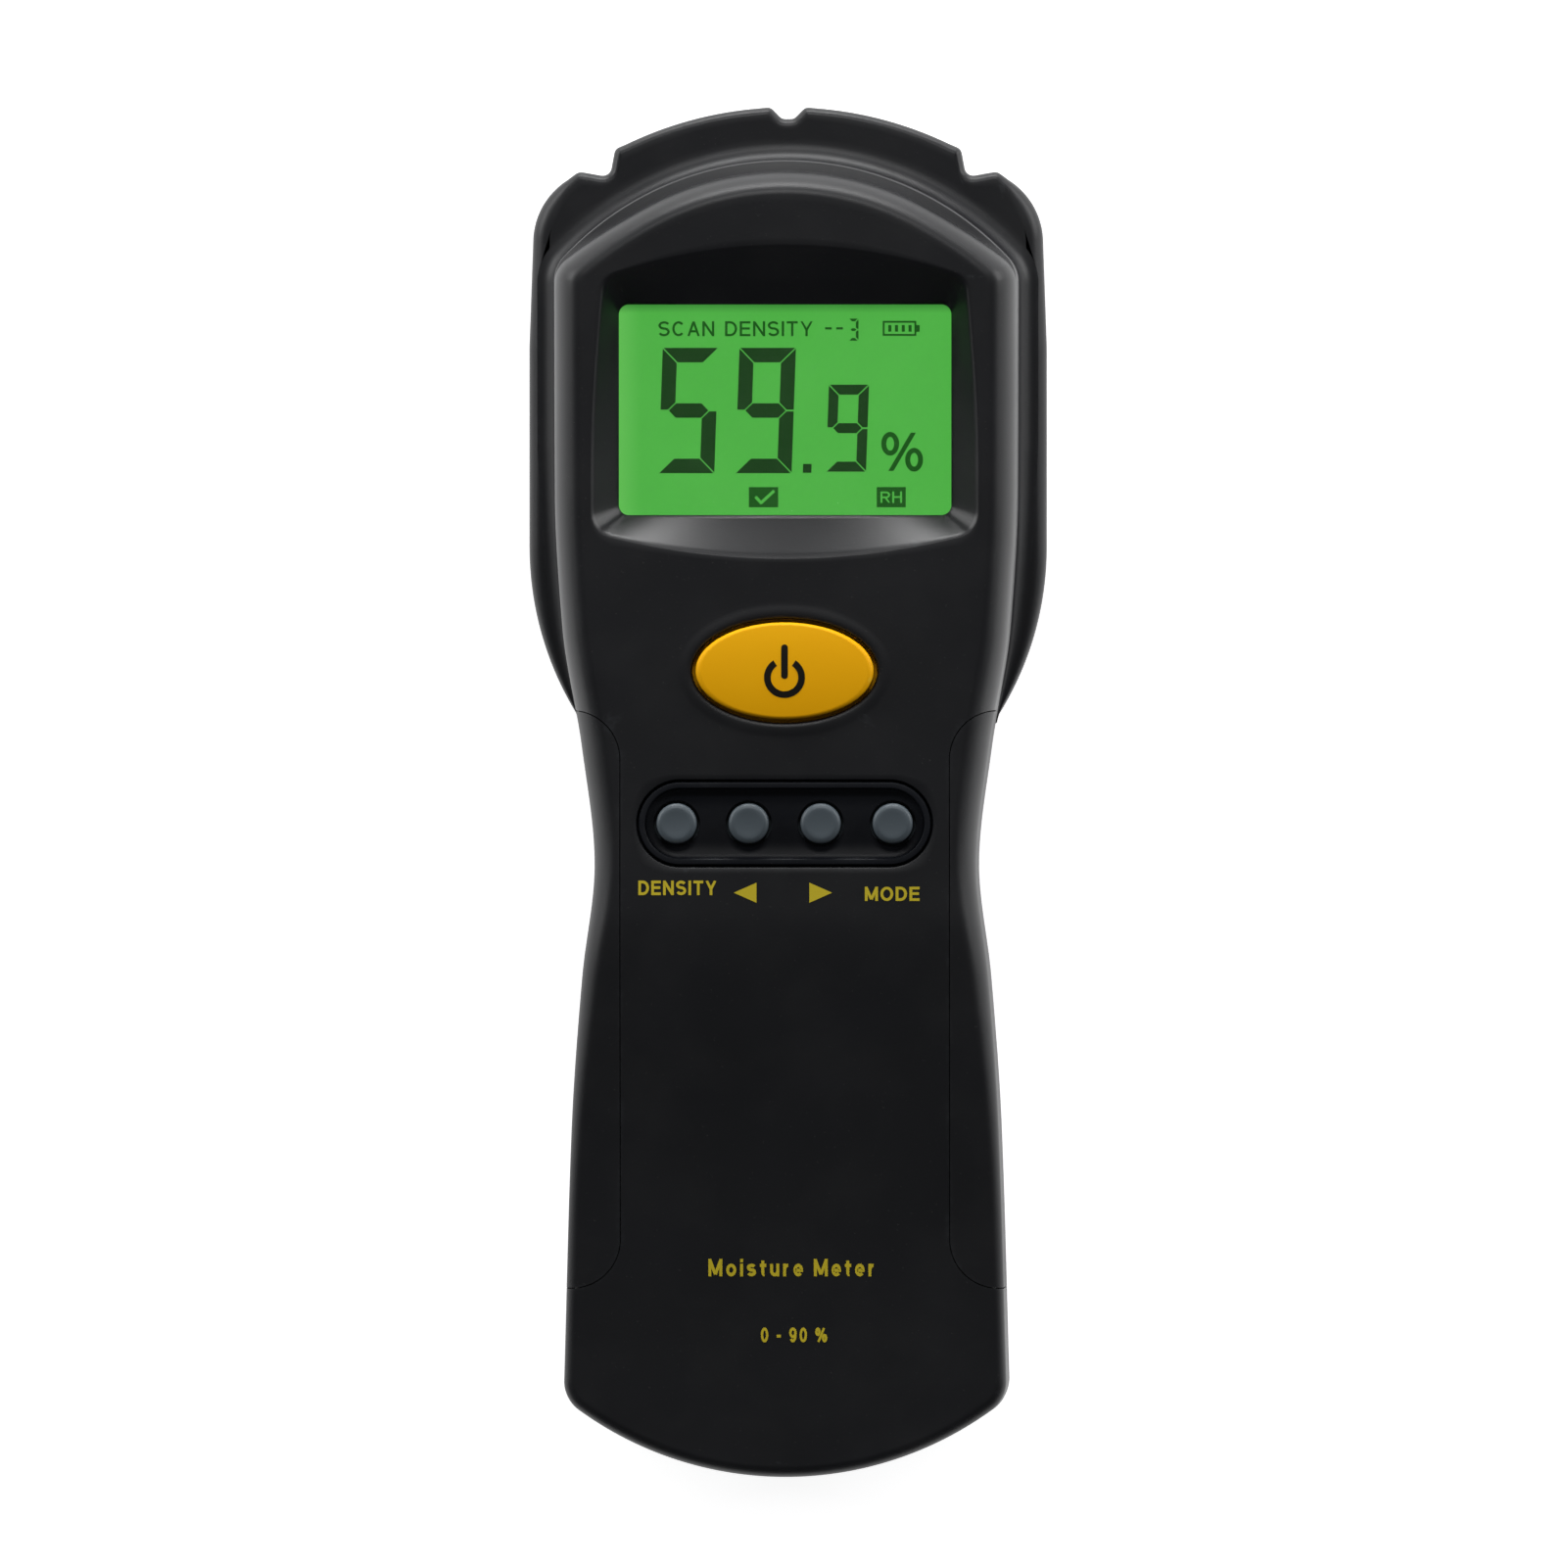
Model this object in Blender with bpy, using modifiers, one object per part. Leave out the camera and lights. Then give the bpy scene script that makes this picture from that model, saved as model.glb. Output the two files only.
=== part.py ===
"""Hand-held pinless moisture meter for flooring work, built as its separate pieces.

It lies on its flat back: +Z points out of the display, +Y towards the notched sensor head and +X to the
right of the display. The origin is under the middle of the meter, on the surface that it rests on.
Every size below is in millimetres, and the helpers turn them into metres.
"""

import math

import bmesh
import bpy
import numpy as np
from mathutils import Matrix, Vector

MM = 0.001
GAP = 0.3                      # clearance between pieces that touch

# Overall form
FACE_Z = 34.0                  # flat front face around the display and the keys
PART_Z = 13.0                  # plane where the front and rear housings meet
WALL = 2.2                     # front housing wall
FLOOR = 2.0                    # rear housing wall
EDGE_R = 3.2                   # rounded edge between the front face and the sides
BACK_R = 3.0                   # rounded edge round the back of the handle

# Plan outline of the body: two arcs, joined by sides whose half width follows the stations (y, half width)
ARCH_Y, ARCH_R = 44.0, 41.0
TAIL_Y, TAIL_R = -45.0, 47.5
CORNER_R = 5.0
SIDE_STATIONS = ((68.6, 31.3), (40.0, 31.2), (22.0, 30.2), (6.0, 27.6), (-10.0, 25.85),
                 (-25.0, 27.5), (-45.0, 28.9), (-79.4, 29.95))

# Height that the front face has dropped at each station (y, drop), towards the tail
FACE_DROP = ((-16.0, 0.0), (-30.0, 0.9), (-45.0, 2.2), (-60.0, 3.2), (-75.0, 3.8), (-92.5, 4.2))

# Sensor foot: the wide notched plate round the head
FOOT_Z = 6.5
FOOT_ARCH_Y, FOOT_ARCH_R = 42.15, 50.35
FOOT_HALF = 35.0
FOOT_SHOULDER = (28.3, 83.8)
FOOT_CORNER = (24.6, 74.2, 9.9)
FOOT_TAPER = (-8.0, 33.0, 43.0)
NOTCH_MIDDLE = ((-2.5, 94.0), (-2.3, 92.2), (-0.9, 90.9), (0.9, 90.9), (2.3, 92.2), (2.5, 94.0))
NOTCH_SIDE = ((23.2, 90.0), (23.9, 84.6), (24.7, 83.6), (26.1, 83.3), (27.4, 83.5), (28.2, 84.4), (28.6, 90.0))

# Display
SCREEN_Y = 51.2
WINDOW = (44.8, 28.4, 1.3)     # visible opening: width, length, corner radius
FUNNEL_Z = 30.2                # level where the sloping walls end at the opening
RIM_Z = 29.6                   # underside of the funnel
FUNNEL_HALF = 25.9
FUNNEL_TOP = (1.1, 72.0)       # arc: centre y of the upper edge, radius
FUNNEL_BOTTOM = (128.4, 97.0)  # arc: centre y of the lower edge, radius

# Keys
POWER_Y = 16.1
POWER_AXES = (24.1, 13.3)
POWER_TRAVEL = 0.6
KEY_Y = -4.4
KEY_PITCH = 9.67
KEY_R = 2.7
TROUGH = (39.5, 11.4)
KEY_NAMES = ("density", "left_arrow", "right_arrow", "mode")

# Boards
BOARD_Z = (18.8, 20.4)
SWITCH_TOP = 24.2
PLUNGER_Z = (22.0, 25.0)
BOARD_SCREWS = ((18.0, 26.0), (-18.0, 26.0), (17.0, -15.0), (-17.0, -15.0))
CASE_SCREWS = ((13.0, 75.8), (-13.0, 75.8), (20.0, -80.2), (-20.0, -80.2))

# Battery bay: three AAA cells side by side
CELL_R, CELL_BODY, CELL_NUB = 5.15, 43.3, 1.0
CELL_PITCH = 11.0
CELL_Z = 8.0
BAY_HALF, BAY_Y, BAY_TOP = 16.8, (-73.5, -24.0), 14.0
DOOR_HALF, DOOR_Y, DOOR_T = 17.6, (-75.5, -22.0), 1.6
HINGE_Y = DOOR_Y[1] + GAP / 2
HEAD_CONTACT_Y = (BAY_Y[1] - 0.7, BAY_Y[1] - 0.3)
TAIL_CONTACT_Y = (BAY_Y[0] + 0.3, BAY_Y[0] + 0.7)

# Routes of the leads
LEAD_R = 0.6
RED_ROUTE = ((-11.0, -23.2, 16.6), (-10.8, -21.5, 16.9), (-9.5, -18.5, 17.2), (-7.5, -15.5, 17.2),
             (-6.5, -13.6, 17.6), (-6.4, -13.0, 18.3))
BLACK_ROUTE = ((11.0, -71.8, 16.6), (10.8, -68.5, 16.4), (8.5, -59.0, 16.3), (9.5, -47.0, 16.3),
               (7.5, -35.0, 16.3), (8.5, -25.0, 16.6), (7.2, -18.0, 17.1), (6.5, -14.0, 17.6), (6.4, -13.4, 18.3))
SENSOR_ROUTE = ((4.0, 28.0, 5.3), (4.0, 28.2, 7.5), (6.0, 26.0, 10.5), (9.0, 22.0, 13.0), (10.0, 20.5, 16.0),
                (10.0, 20.5, 18.4))

# Side grips, inlaid in the front housing
GRIP_X, GRIP_Y, GRIP_CORNER, GRIP_T = 22.2, (-66.8, 10.7), 6.5, 1.0

BLACK = (0.012, 0.013, 0.015)
STEEL = (0.60, 0.61, 0.62)


def collections():
    """Empties the scene and makes one collection for the pieces and one for the cutting forms."""
    for obj in list(bpy.data.objects):
        bpy.data.objects.remove(obj)
    made = [bpy.data.collections.new(name) for name in ("moisture_meter", "forms")]
    for collection in made:
        bpy.context.scene.collection.children.link(collection)
    return made


PIECES, FORMS = collections()


# ---------------------------------------------------------------- outlines

def arc(cx, cy, r, start, end, count):
    """Points on a circle from one angle to the other, in degrees, both ends included."""
    angles = np.radians(np.linspace(start, end, count))
    return np.column_stack((cx + r * np.cos(angles), cy + r * np.sin(angles)))


def smooth(stations, y):
    """A cubic curve through the stations, whose slope at each one is that between its neighbours."""
    ys, ws = np.array(sorted(stations)).T
    slopes = np.gradient(ws, ys)
    k = np.clip(np.searchsorted(ys, y) - 1, 0, len(ys) - 2)
    h = ys[k + 1] - ys[k]
    t = (np.clip(y, ys[0], ys[-1]) - ys[k]) / h
    return ((1 + 2 * t) * (1 - t) ** 2 * ws[k] + t * (1 - t) ** 2 * h * slopes[k]
            + t * t * (3 - 2 * t) * ws[k + 1] + t * t * (t - 1) * h * slopes[k + 1])


def both_sides(right):
    """Closes a right half that runs from the top middle to the bottom middle with its mirror image."""
    left = right[::-1][1:-1] * (-1, 1)
    return np.vstack((right, left))


def inset(points, distance):
    """Moves a clockwise outline inwards by the distance, along its normals."""
    along = np.roll(points, -1, axis=0) - np.roll(points, 1, axis=0)
    along /= np.linalg.norm(along, axis=1)[:, None]
    return points + distance * np.column_stack((along[:, 1], -along[:, 0]))


def body_outline(distance=0.0):
    """Plan outline of the body at the parting plane, moved inwards by the distance."""
    top_y = SIDE_STATIONS[0][0]
    top_half = SIDE_STATIONS[0][1]
    low_y = SIDE_STATIONS[-1][0]
    low_half = SIDE_STATIONS[-1][1]
    turn = math.degrees(math.atan2(top_y - ARCH_Y, top_half - CORNER_R))
    low_turn = math.degrees(math.atan2(low_y - TAIL_Y, low_half - CORNER_R))
    side_y = np.linspace(top_y, low_y, 14)[1:-1]
    right = np.vstack((
        arc(0, ARCH_Y, ARCH_R, 90, turn, 8),
        arc(top_half - CORNER_R, top_y, CORNER_R, turn, 0, 3)[1:],
        np.column_stack((smooth(SIDE_STATIONS, side_y), side_y)),
        arc(low_half - CORNER_R, low_y, CORNER_R, 0, low_turn, 3),
        arc(0, TAIL_Y, TAIL_R, low_turn, -90, 7)[1:],
    ))
    return inset(both_sides(right), distance)


def foot_outline():
    """Plan outline of the sensor foot, before its marking notches are cut."""
    shoulder_x, shoulder_y = FOOT_SHOULDER
    cx, cy, r = FOOT_CORNER
    start = math.degrees(math.atan2(shoulder_y - cy, shoulder_x - cx))
    taper_x, taper_y, taper_r = FOOT_TAPER
    meet = math.degrees(math.acos(33.5 / taper_r))
    arch_end = math.degrees(math.acos(24.6 / FOOT_ARCH_R))
    right = np.vstack((
        arc(0, FOOT_ARCH_Y, FOOT_ARCH_R, 90, arch_end, 7),
        arc(cx, cy, r, start, 0, 5),
        ((FOOT_HALF, 48.0),),
        arc(taper_x, taper_y, taper_r, 0, -meet, 6),
        ((20.0, 3.0), (0.0, 3.0)),
    ))
    return both_sides(right)


def ellipse(width, length, cy, count):
    angles = np.linspace(0, 2 * math.pi, count, endpoint=False)
    return np.column_stack((width / 2 * np.cos(angles), cy + length / 2 * np.sin(angles)))


def obround(width, length, cy, count=9):
    r = length / 2
    right = arc(width / 2 - r, cy, r, 90, -90, count)
    return np.vstack((right, arc(r - width / 2, cy, r, 270, 90, count)))


def rounded_box(x0, x1, y0, y1, r, count=4):
    """A rectangle whose corners are arcs, clockwise from its upper right corner."""
    corners = ((x1 - r, y1 - r, 90), (x1 - r, y0 + r, 0), (x0 + r, y0 + r, -90), (x0 + r, y1 - r, -180))
    return np.vstack([arc(cx, cy, r, start, start - 90, count) for cx, cy, start in corners])


# ---------------------------------------------------------------- tools

def place(name, mesh, collection):
    """Adds a mesh to a collection. A form is hidden from renders and drawn as wire."""
    obj = bpy.data.objects.new(name, mesh)
    collection.objects.link(obj)
    if collection is FORMS:
        obj.hide_render = True
        obj.display_type = "WIRE"
    return obj


def finish(obj, colour, roughness, metallic=0.0, alpha=1.0):
    """Gives a piece its own Principled material."""
    material = bpy.data.materials.new(obj.name)
    material.use_nodes = True
    shader = material.node_tree.nodes["Principled BSDF"]
    shader.inputs["Base Color"].default_value = (*colour, 1.0)
    shader.inputs["Roughness"].default_value = roughness
    shader.inputs["Metallic"].default_value = metallic
    shader.inputs["Alpha"].default_value = alpha
    obj.data.materials.clear()
    obj.data.materials.append(material)
    return obj


def meshed(curve_obj, name, collection):
    """Turns a curve object into a mesh object with welded caps."""
    bpy.context.view_layer.update()
    depsgraph = bpy.context.evaluated_depsgraph_get()
    mesh = bpy.data.meshes.new_from_object(curve_obj.evaluated_get(depsgraph))
    mesh.transform(curve_obj.matrix_world)
    bpy.data.objects.remove(curve_obj)
    bm = bmesh.new()
    bm.from_mesh(mesh)
    bmesh.ops.remove_doubles(bm, verts=bm.verts, dist=1e-6)
    bmesh.ops.recalc_face_normals(bm, faces=bm.faces)
    bm.to_mesh(mesh)
    bm.free()
    return place(name, mesh, collection)


def slab(name, outline, z0, z1, collection=None, top_round=0.0, bottom_round=0.0, steps=2):
    """A flat outline extruded from z0 to z1, with its upper and lower edges rounded if asked."""
    curve = bpy.data.curves.new(name, "CURVE")
    curve.dimensions = "2D"
    curve.fill_mode = "BOTH"
    curve.extrude = (z1 - z0) / 2 * MM
    spline = curve.splines.new("POLY")
    spline.points.add(len(outline) - 1)
    for point, (x, y) in zip(spline.points, outline):
        point.co = (x * MM, y * MM, 0.0, 1.0)
    spline.use_cyclic_u = True
    obj = bpy.data.objects.new(name, curve)
    obj.location.z = (z0 + z1) / 2 * MM
    bpy.context.scene.collection.objects.link(obj)
    obj = meshed(obj, name, collection or PIECES)
    for z, radius in ((z1, top_round), (z0, bottom_round)):
        if radius:
            round_level(obj.data, z, radius, steps)
    return obj


def round_level(mesh, z, radius, steps):
    """Rounds the outer edges that lie at one height, after the cap there is made one face."""
    bm = bmesh.new()
    bm.from_mesh(mesh)
    level = [e for e in bm.edges if all(abs(v.co.z - z * MM) < 1e-6 for v in e.verts)]
    inner = [e for e in level if all(abs(f.normal.z) > 0.99 for f in e.link_faces)]
    bmesh.ops.dissolve_edges(bm, edges=inner, use_verts=False)
    rim = [e for e in bm.edges if all(abs(v.co.z - z * MM) < 1e-6 for v in e.verts)]
    bmesh.ops.bevel(bm, geom=rim, offset=radius * MM, segments=steps, profile=0.5, affect="EDGES")
    bm.to_mesh(mesh)
    bm.free()


def block(name, x, y, z, collection=None):
    """A box between two x, two y and two z values."""
    bm = bmesh.new()
    size = [(pair[1] - pair[0]) * MM for pair in (x, y, z)]
    middle = Vector([(pair[1] + pair[0]) / 2 * MM for pair in (x, y, z)])
    bmesh.ops.create_cube(bm, size=1.0, matrix=Matrix.Translation(middle) @ Matrix.Diagonal((*size, 1.0)))
    mesh = bpy.data.meshes.new(name)
    bm.to_mesh(mesh)
    bm.free()
    return place(name, mesh, collection or PIECES)


def turned(name, profile, at, collection=None, steps=16, axis="Z"):
    """A profile of (radius, height), run from its top to its bottom, turned about its own axis at a place."""
    mesh = bpy.data.meshes.new(name)
    points = [(r * MM, 0.0, h * MM) for r, h in profile]
    mesh.from_pydata(points, [(k, k + 1) for k in range(len(points) - 1)], [])
    obj = place(name, mesh, collection or PIECES)
    obj.location = [value * MM for value in at]
    if axis == "Y":
        obj.rotation_euler.x = -math.pi / 2
    screw = obj.modifiers.new("turn", "SCREW")
    screw.steps = steps
    screw.render_steps = steps
    screw.use_merge_vertices = True
    screw.merge_threshold = 1e-5
    screw.use_smooth_shade = True
    return obj


def wire(name, points, radius, collection=None, sides=2):
    """A round wire along a run of points."""
    curve = bpy.data.curves.new(name, "CURVE")
    curve.dimensions = "3D"
    curve.bevel_depth = radius * MM
    curve.bevel_resolution = sides
    curve.use_fill_caps = True
    spline = curve.splines.new("POLY")
    spline.points.add(len(points) - 1)
    for point, co in zip(spline.points, points):
        point.co = (*[c * MM for c in co], 1.0)
    obj = bpy.data.objects.new(name, curve)
    bpy.context.scene.collection.objects.link(obj)
    return meshed(obj, name, collection or PIECES)


def through(points, count):
    """Points along a smooth curve through the given ones, for a wire's route."""
    route = np.array(points, float)
    ends = np.vstack((2 * route[0] - route[1], route, 2 * route[-1] - route[-2]))
    made = []
    for t in np.linspace(0, len(route) - 1, count):
        k = min(int(t), len(route) - 2)
        u = t - k
        a, b, c, d = ends[k:k + 4]
        made.append(0.5 * (2 * b + (c - a) * u + (2 * a - 5 * b + 4 * c - d) * u * u
                           + (3 * b - a - 3 * c + d) * u ** 3))
    return made


def combine(obj, form, operation):
    """Joins, cuts or crosses a piece with a form. The rear housing's forms share planes, which need the other solver."""
    modifier = obj.modifiers.new(form.name, "BOOLEAN")
    modifier.operation = operation
    modifier.solver = "MANIFOLD" if obj.name == "rear_housing" else "EXACT"
    modifier.object = form
    return obj


def cut(obj, *forms):
    for form in forms:
        combine(obj, form, "DIFFERENCE")
    return obj


def join(obj, *forms):
    for form in forms:
        combine(obj, form, "UNION")
    return obj


def follow_face(obj, top):
    """Lowers what lies above the parting plane by the drop of the front face, in full at the height top."""
    bm = bmesh.new()
    bm.from_mesh(obj.data)
    for y, _ in FACE_DROP[:-1]:
        bmesh.ops.bisect_plane(bm, geom=bm.verts[:] + bm.edges[:] + bm.faces[:], dist=1e-7,
                               plane_co=(0, y * MM, 0), plane_no=(0, 1, 0))
    ys, drops = np.array(sorted(FACE_DROP)).T
    for vert in bm.verts:
        share = max(0.0, vert.co.z / MM - PART_Z) / (top - PART_Z)
        vert.co.z -= share * float(np.interp(vert.co.y / MM, ys, drops)) * MM
    bm.to_mesh(obj.data)
    bm.free()
    return obj


# ---------------------------------------------------------------- housings and grips

def grip_region(side, extra, z0, collection_name):
    """Plan area of one side grip, from its inner edge out past the side of the body."""
    outline = rounded_box(GRIP_X - extra, 60.0, GRIP_Y[0] - extra, GRIP_Y[1] + extra, GRIP_CORNER + extra, 5)
    return slab(collection_name, outline * (side, 1), z0, FACE_Z + 6, FORMS)


def body_solid(name, distance, z0, z1, collection=None):
    """The front half of the body as a solid, moved inwards by the distance, with its face at height z1."""
    solid = slab(name, body_outline(distance), z0, z1, collection, top_round=max(EDGE_R - distance, 1.0))
    return follow_face(solid, z1)


def display_funnel():
    """Cutter for the display recess: a loft from the arched outer edge down to the square opening."""
    count = 6
    half_w, half_l, r = WINDOW[0] / 2, WINDOW[1] / 2, WINDOW[2]
    side_top = FUNNEL_TOP[0] + math.sqrt(FUNNEL_TOP[1] ** 2 - 23.6 ** 2)
    side_low = FUNNEL_BOTTOM[0] - math.sqrt(FUNNEL_BOTTOM[1] ** 2 - 24.6 ** 2)
    spread = np.linspace(-1, 1, count)
    upper = np.column_stack((23.6 * spread, FUNNEL_TOP[0] + np.sqrt(FUNNEL_TOP[1] ** 2 - (23.6 * spread) ** 2)))
    lower = np.column_stack((-24.6 * spread,
                             FUNNEL_BOTTOM[0] - np.sqrt(FUNNEL_BOTTOM[1] ** 2 - (24.6 * spread) ** 2)))
    right = np.array(((24.9, side_top - 1.2), (FUNNEL_HALF, 44.0), (FUNNEL_HALF - 0.2, side_low + 1.4)))
    outer = np.vstack((upper, right, lower, right[::-1] * (-1, 1)))
    square_x = np.clip(outer[:, 0], -half_w, half_w)
    square_y = np.clip(outer[:, 1], SCREEN_Y - half_l, SCREEN_Y + half_l)
    inner = np.column_stack((square_x, square_y))
    for k, (x, y) in enumerate(outer):
        if abs(x) > half_w and abs(y - SCREEN_Y) > half_l:
            inner[k] = (math.copysign(half_w - r * 0.29, x),
                        SCREEN_Y + math.copysign(half_l - r * 0.29, y - SCREEN_Y))
    slope = (FACE_Z - FUNNEL_Z)
    over = inner + (outer - inner) * (FACE_Z + 1.0 - FUNNEL_Z) / slope
    rings = ((over, FACE_Z + 1.0), (inner, FUNNEL_Z), (inner, RIM_Z - 1.0))
    bm = bmesh.new()
    loops = [[bm.verts.new((x * MM, y * MM, z * MM)) for x, y in ring] for ring, z in rings]
    for upper_loop, lower_loop in zip(loops, loops[1:]):
        for k in range(len(outer)):
            n = (k + 1) % len(outer)
            bm.faces.new((upper_loop[k], upper_loop[n], lower_loop[n], lower_loop[k]))
    bm.faces.new(loops[0])
    bm.faces.new(loops[-1][::-1])
    bmesh.ops.recalc_face_normals(bm, faces=bm.faces)
    mesh = bpy.data.meshes.new("funnel_form")
    bm.to_mesh(mesh)
    bm.free()
    return place("funnel_form", mesh, FORMS)


def front_housing():
    """Front shell with the display recess, the key openings, the grip recesses and the inner screw posts."""
    shell = body_solid("front_housing", 0.0, PART_Z + GAP / 2, FACE_Z)
    cut(shell, body_solid("front_cavity_form", WALL, PART_Z - 3, FACE_Z - WALL, FORMS))
    join(shell, slab("display_boss_form", rounded_box(-27.6, 27.6, 29.6, 75.0, 3.0), RIM_Z, FACE_Z - 1, FORMS))
    for k, (x, y) in enumerate(CASE_SCREWS):
        top = FACE_Z - 1 if y > 0 else FACE_Z - 5
        join(shell, turned(f"case_post_form_{k}", ((0, top), (3.0, top), (3.0, 13.2), (0, 13.2)), (x, y, 0), FORMS))
        cut(shell, turned(f"case_thread_form_{k}", ((0, 24), (1.25, 24), (1.25, 12), (0, 12)), (x, y, 0), FORMS, 12))
    for k, (x, y) in enumerate(BOARD_SCREWS):
        top, base = FACE_Z - 1, BOARD_Z[1] + GAP
        join(shell, turned(f"board_post_form_{k}", ((0, top), (2.2, top), (2.2, base), (0, base)), (x, y, 0),
                           FORMS, 12))
        cut(shell, turned(f"board_thread_form_{k}", ((0, 26), (1.15, 26), (1.15, 19), (0, 19)), (x, y, 0), FORMS, 10))
    lip = slab("key_lip_form", ellipse(29.0, 17.8, POWER_Y, 24), FACE_Z - 1, FACE_Z + 0.5, FORMS, top_round=0.45,
               steps=1)
    join(shell, lip)
    cut(shell, display_funnel())
    moat = slab("key_moat_form", ellipse(27.0, 15.9, POWER_Y, 24), FACE_Z - 0.9, FACE_Z + 2, FORMS)
    hole = slab("key_hole_form", ellipse(POWER_AXES[0] + 0.7, POWER_AXES[1] + 0.7, POWER_Y, 24),
                FACE_Z - 5, FACE_Z + 2, FORMS)
    trough = slab("trough_form", obround(TROUGH[0] + GAP, TROUGH[1] + GAP, KEY_Y), FACE_Z - 5, FACE_Z + 2, FORMS)
    cut(shell, moat, hole, trough)
    for side, name in ((1, "right"), (-1, "left")):
        recess = grip_region(side, GAP, PART_Z - 2, f"{name}_grip_recess_form")
        cut(recess, body_solid(f"{name}_grip_bed_form", GRIP_T + GAP, PART_Z - 4, FACE_Z - GRIP_T - GAP, FORMS))
        cut(shell, recess)
    return finish(shell, BLACK, 0.42)


def side_grip(side, name):
    """Thin soft panel inlaid over one edge of the handle."""
    grip = body_solid(name, 0.0, PART_Z + GAP / 2, FACE_Z)
    combine(grip, grip_region(side, 0.0, PART_Z - 1, name + "_region_form"), "INTERSECT")
    cut(grip, body_solid(name + "_core_form", GRIP_T, PART_Z - 4, FACE_Z - GRIP_T, FORMS))
    return finish(grip, (0.016, 0.017, 0.019), 0.6)


def notch_forms():
    """Cutters for the three marking notches in the edge of the foot."""
    outlines = (("middle", np.array(NOTCH_MIDDLE)), ("right", np.array(NOTCH_SIDE)),
                ("left", np.array(NOTCH_SIDE) * (-1, 1)))
    return [slab(f"{name}_notch_form", outline, -1, FOOT_Z + 1, FORMS) for name, outline in outlines]


def rear_housing():
    """Rear shell with the sensor foot, the battery bay, the screw posts and the locating lip."""
    shell = slab("rear_housing", body_outline(), 0, PART_Z - GAP / 2, bottom_round=BACK_R)
    join(shell, slab("foot_form", foot_outline(), 0, FOOT_Z, FORMS, top_round=1.5, bottom_round=0.6))
    join(shell, slab("lip_form", body_outline(WALL + GAP), 6, PART_Z + 1.2, FORMS))
    cut(shell, *notch_forms())
    hollow = slab("rear_cavity_form", body_outline(WALL + GAP + 0.9), FLOOR, PART_Z + 3, FORMS, bottom_round=2.0)
    cut(shell, hollow)
    join(shell, slab("sole_form", rounded_box(-27, 27, 18.0, 73.0, 2.0), FLOOR / 2, 3.0, FORMS))
    join(shell, block("bay_form", (-19.2, 19.2), (BAY_Y[0] - 3.5, BAY_Y[1] + 3.5), (FLOOR / 2, BAY_TOP + 1.2), FORMS))
    for k, (x, y) in enumerate(CASE_SCREWS):
        post = turned(f"rear_post_form_{k}", ((0, 12.6), (4.2, 12.6), (4.2, 1), (0, 1)), (x, y, 0), FORMS)
        bore = turned(f"rear_bore_form_{k}", ((0, 14), (1.6, 14), (1.6, 4.5), (3.0, 4.5), (3.0, -1), (0, -1)),
                      (x, y, 0), FORMS)
        join(shell, post)
        cut(shell, bore)
    cut(shell, block("bay_cavity_form", (-BAY_HALF, BAY_HALF), BAY_Y, (-1, BAY_TOP), FORMS))
    seat = rounded_box(-DOOR_HALF - GAP, DOOR_HALF + GAP, DOOR_Y[0] - GAP, DOOR_Y[1] + GAP, 1.8)
    cut(shell, slab("door_seat_form", seat, -1, DOOR_T + GAP, FORMS))
    for side in (1, -1):
        x = sorted((7.2 * side, 13.8 * side))
        cut(shell, block(f"hinge_pocket_form_{side}", x, (BAY_Y[1] - 1, HINGE_Y + 2.1), (DOOR_T + GAP, 4.3), FORMS))
    cut(shell, block("latch_pocket_form", (-5.6, 5.6), (DOOR_Y[0] - 0.9, BAY_Y[0] + 1), (DOOR_T + GAP, 6.2), FORMS))
    for x, ends in ((-CELL_PITCH, HEAD_CONTACT_Y), (CELL_PITCH, TAIL_CONTACT_Y)):
        y = (ends[0] - GAP, ends[1] + GAP)
        slot = block(f"terminal_slot_form_{x:.0f}", (x - 1.7, x + 1.7), y, (BAY_TOP - 1, BAY_TOP + 2), FORMS)
        cut(shell, slot)
    cut(shell, slab("sole_seat_form", sole_outline(GAP), -1, 1.6 + GAP, FORMS))
    return finish(shell, BLACK, 0.5)


def sole_outline(extra=0.0):
    return rounded_box(-24 - extra, 24 + extra, 22 - extra, 68 + extra, 3.0 + extra)


def key_bezel():
    """Glossy dished insert that the four round keys stand in."""
    bezel = slab("key_bezel", obround(TROUGH[0] - GAP, TROUGH[1] - GAP, KEY_Y), 30.3, FACE_Z)
    join(bezel, slab("bezel_flange_form", obround(TROUGH[0] + 3.4, TROUGH[1] + 3.4, KEY_Y), 30.0,
                     FACE_Z - WALL - GAP, FORMS))
    cut(bezel, slab("bezel_dish_form", obround(TROUGH[0] - 1.8, TROUGH[1] - 1.8, KEY_Y), 32.0, FACE_Z + 1, FORMS,
                    bottom_round=1.2))
    for k, x in enumerate(key_places()):
        hole = turned(f"bezel_hole_form_{k}", ((0, 35), (KEY_R + GAP, 35), (KEY_R + GAP, 29), (0, 29)),
                      (x, KEY_Y, 0), FORMS, 14)
        cut(bezel, hole)
    return finish(bezel, (0.008, 0.008, 0.01), 0.18)


# ---------------------------------------------------------------- keys and switches

def key_places():
    return [(k - 1.5) * KEY_PITCH for k in range(4)]


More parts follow.
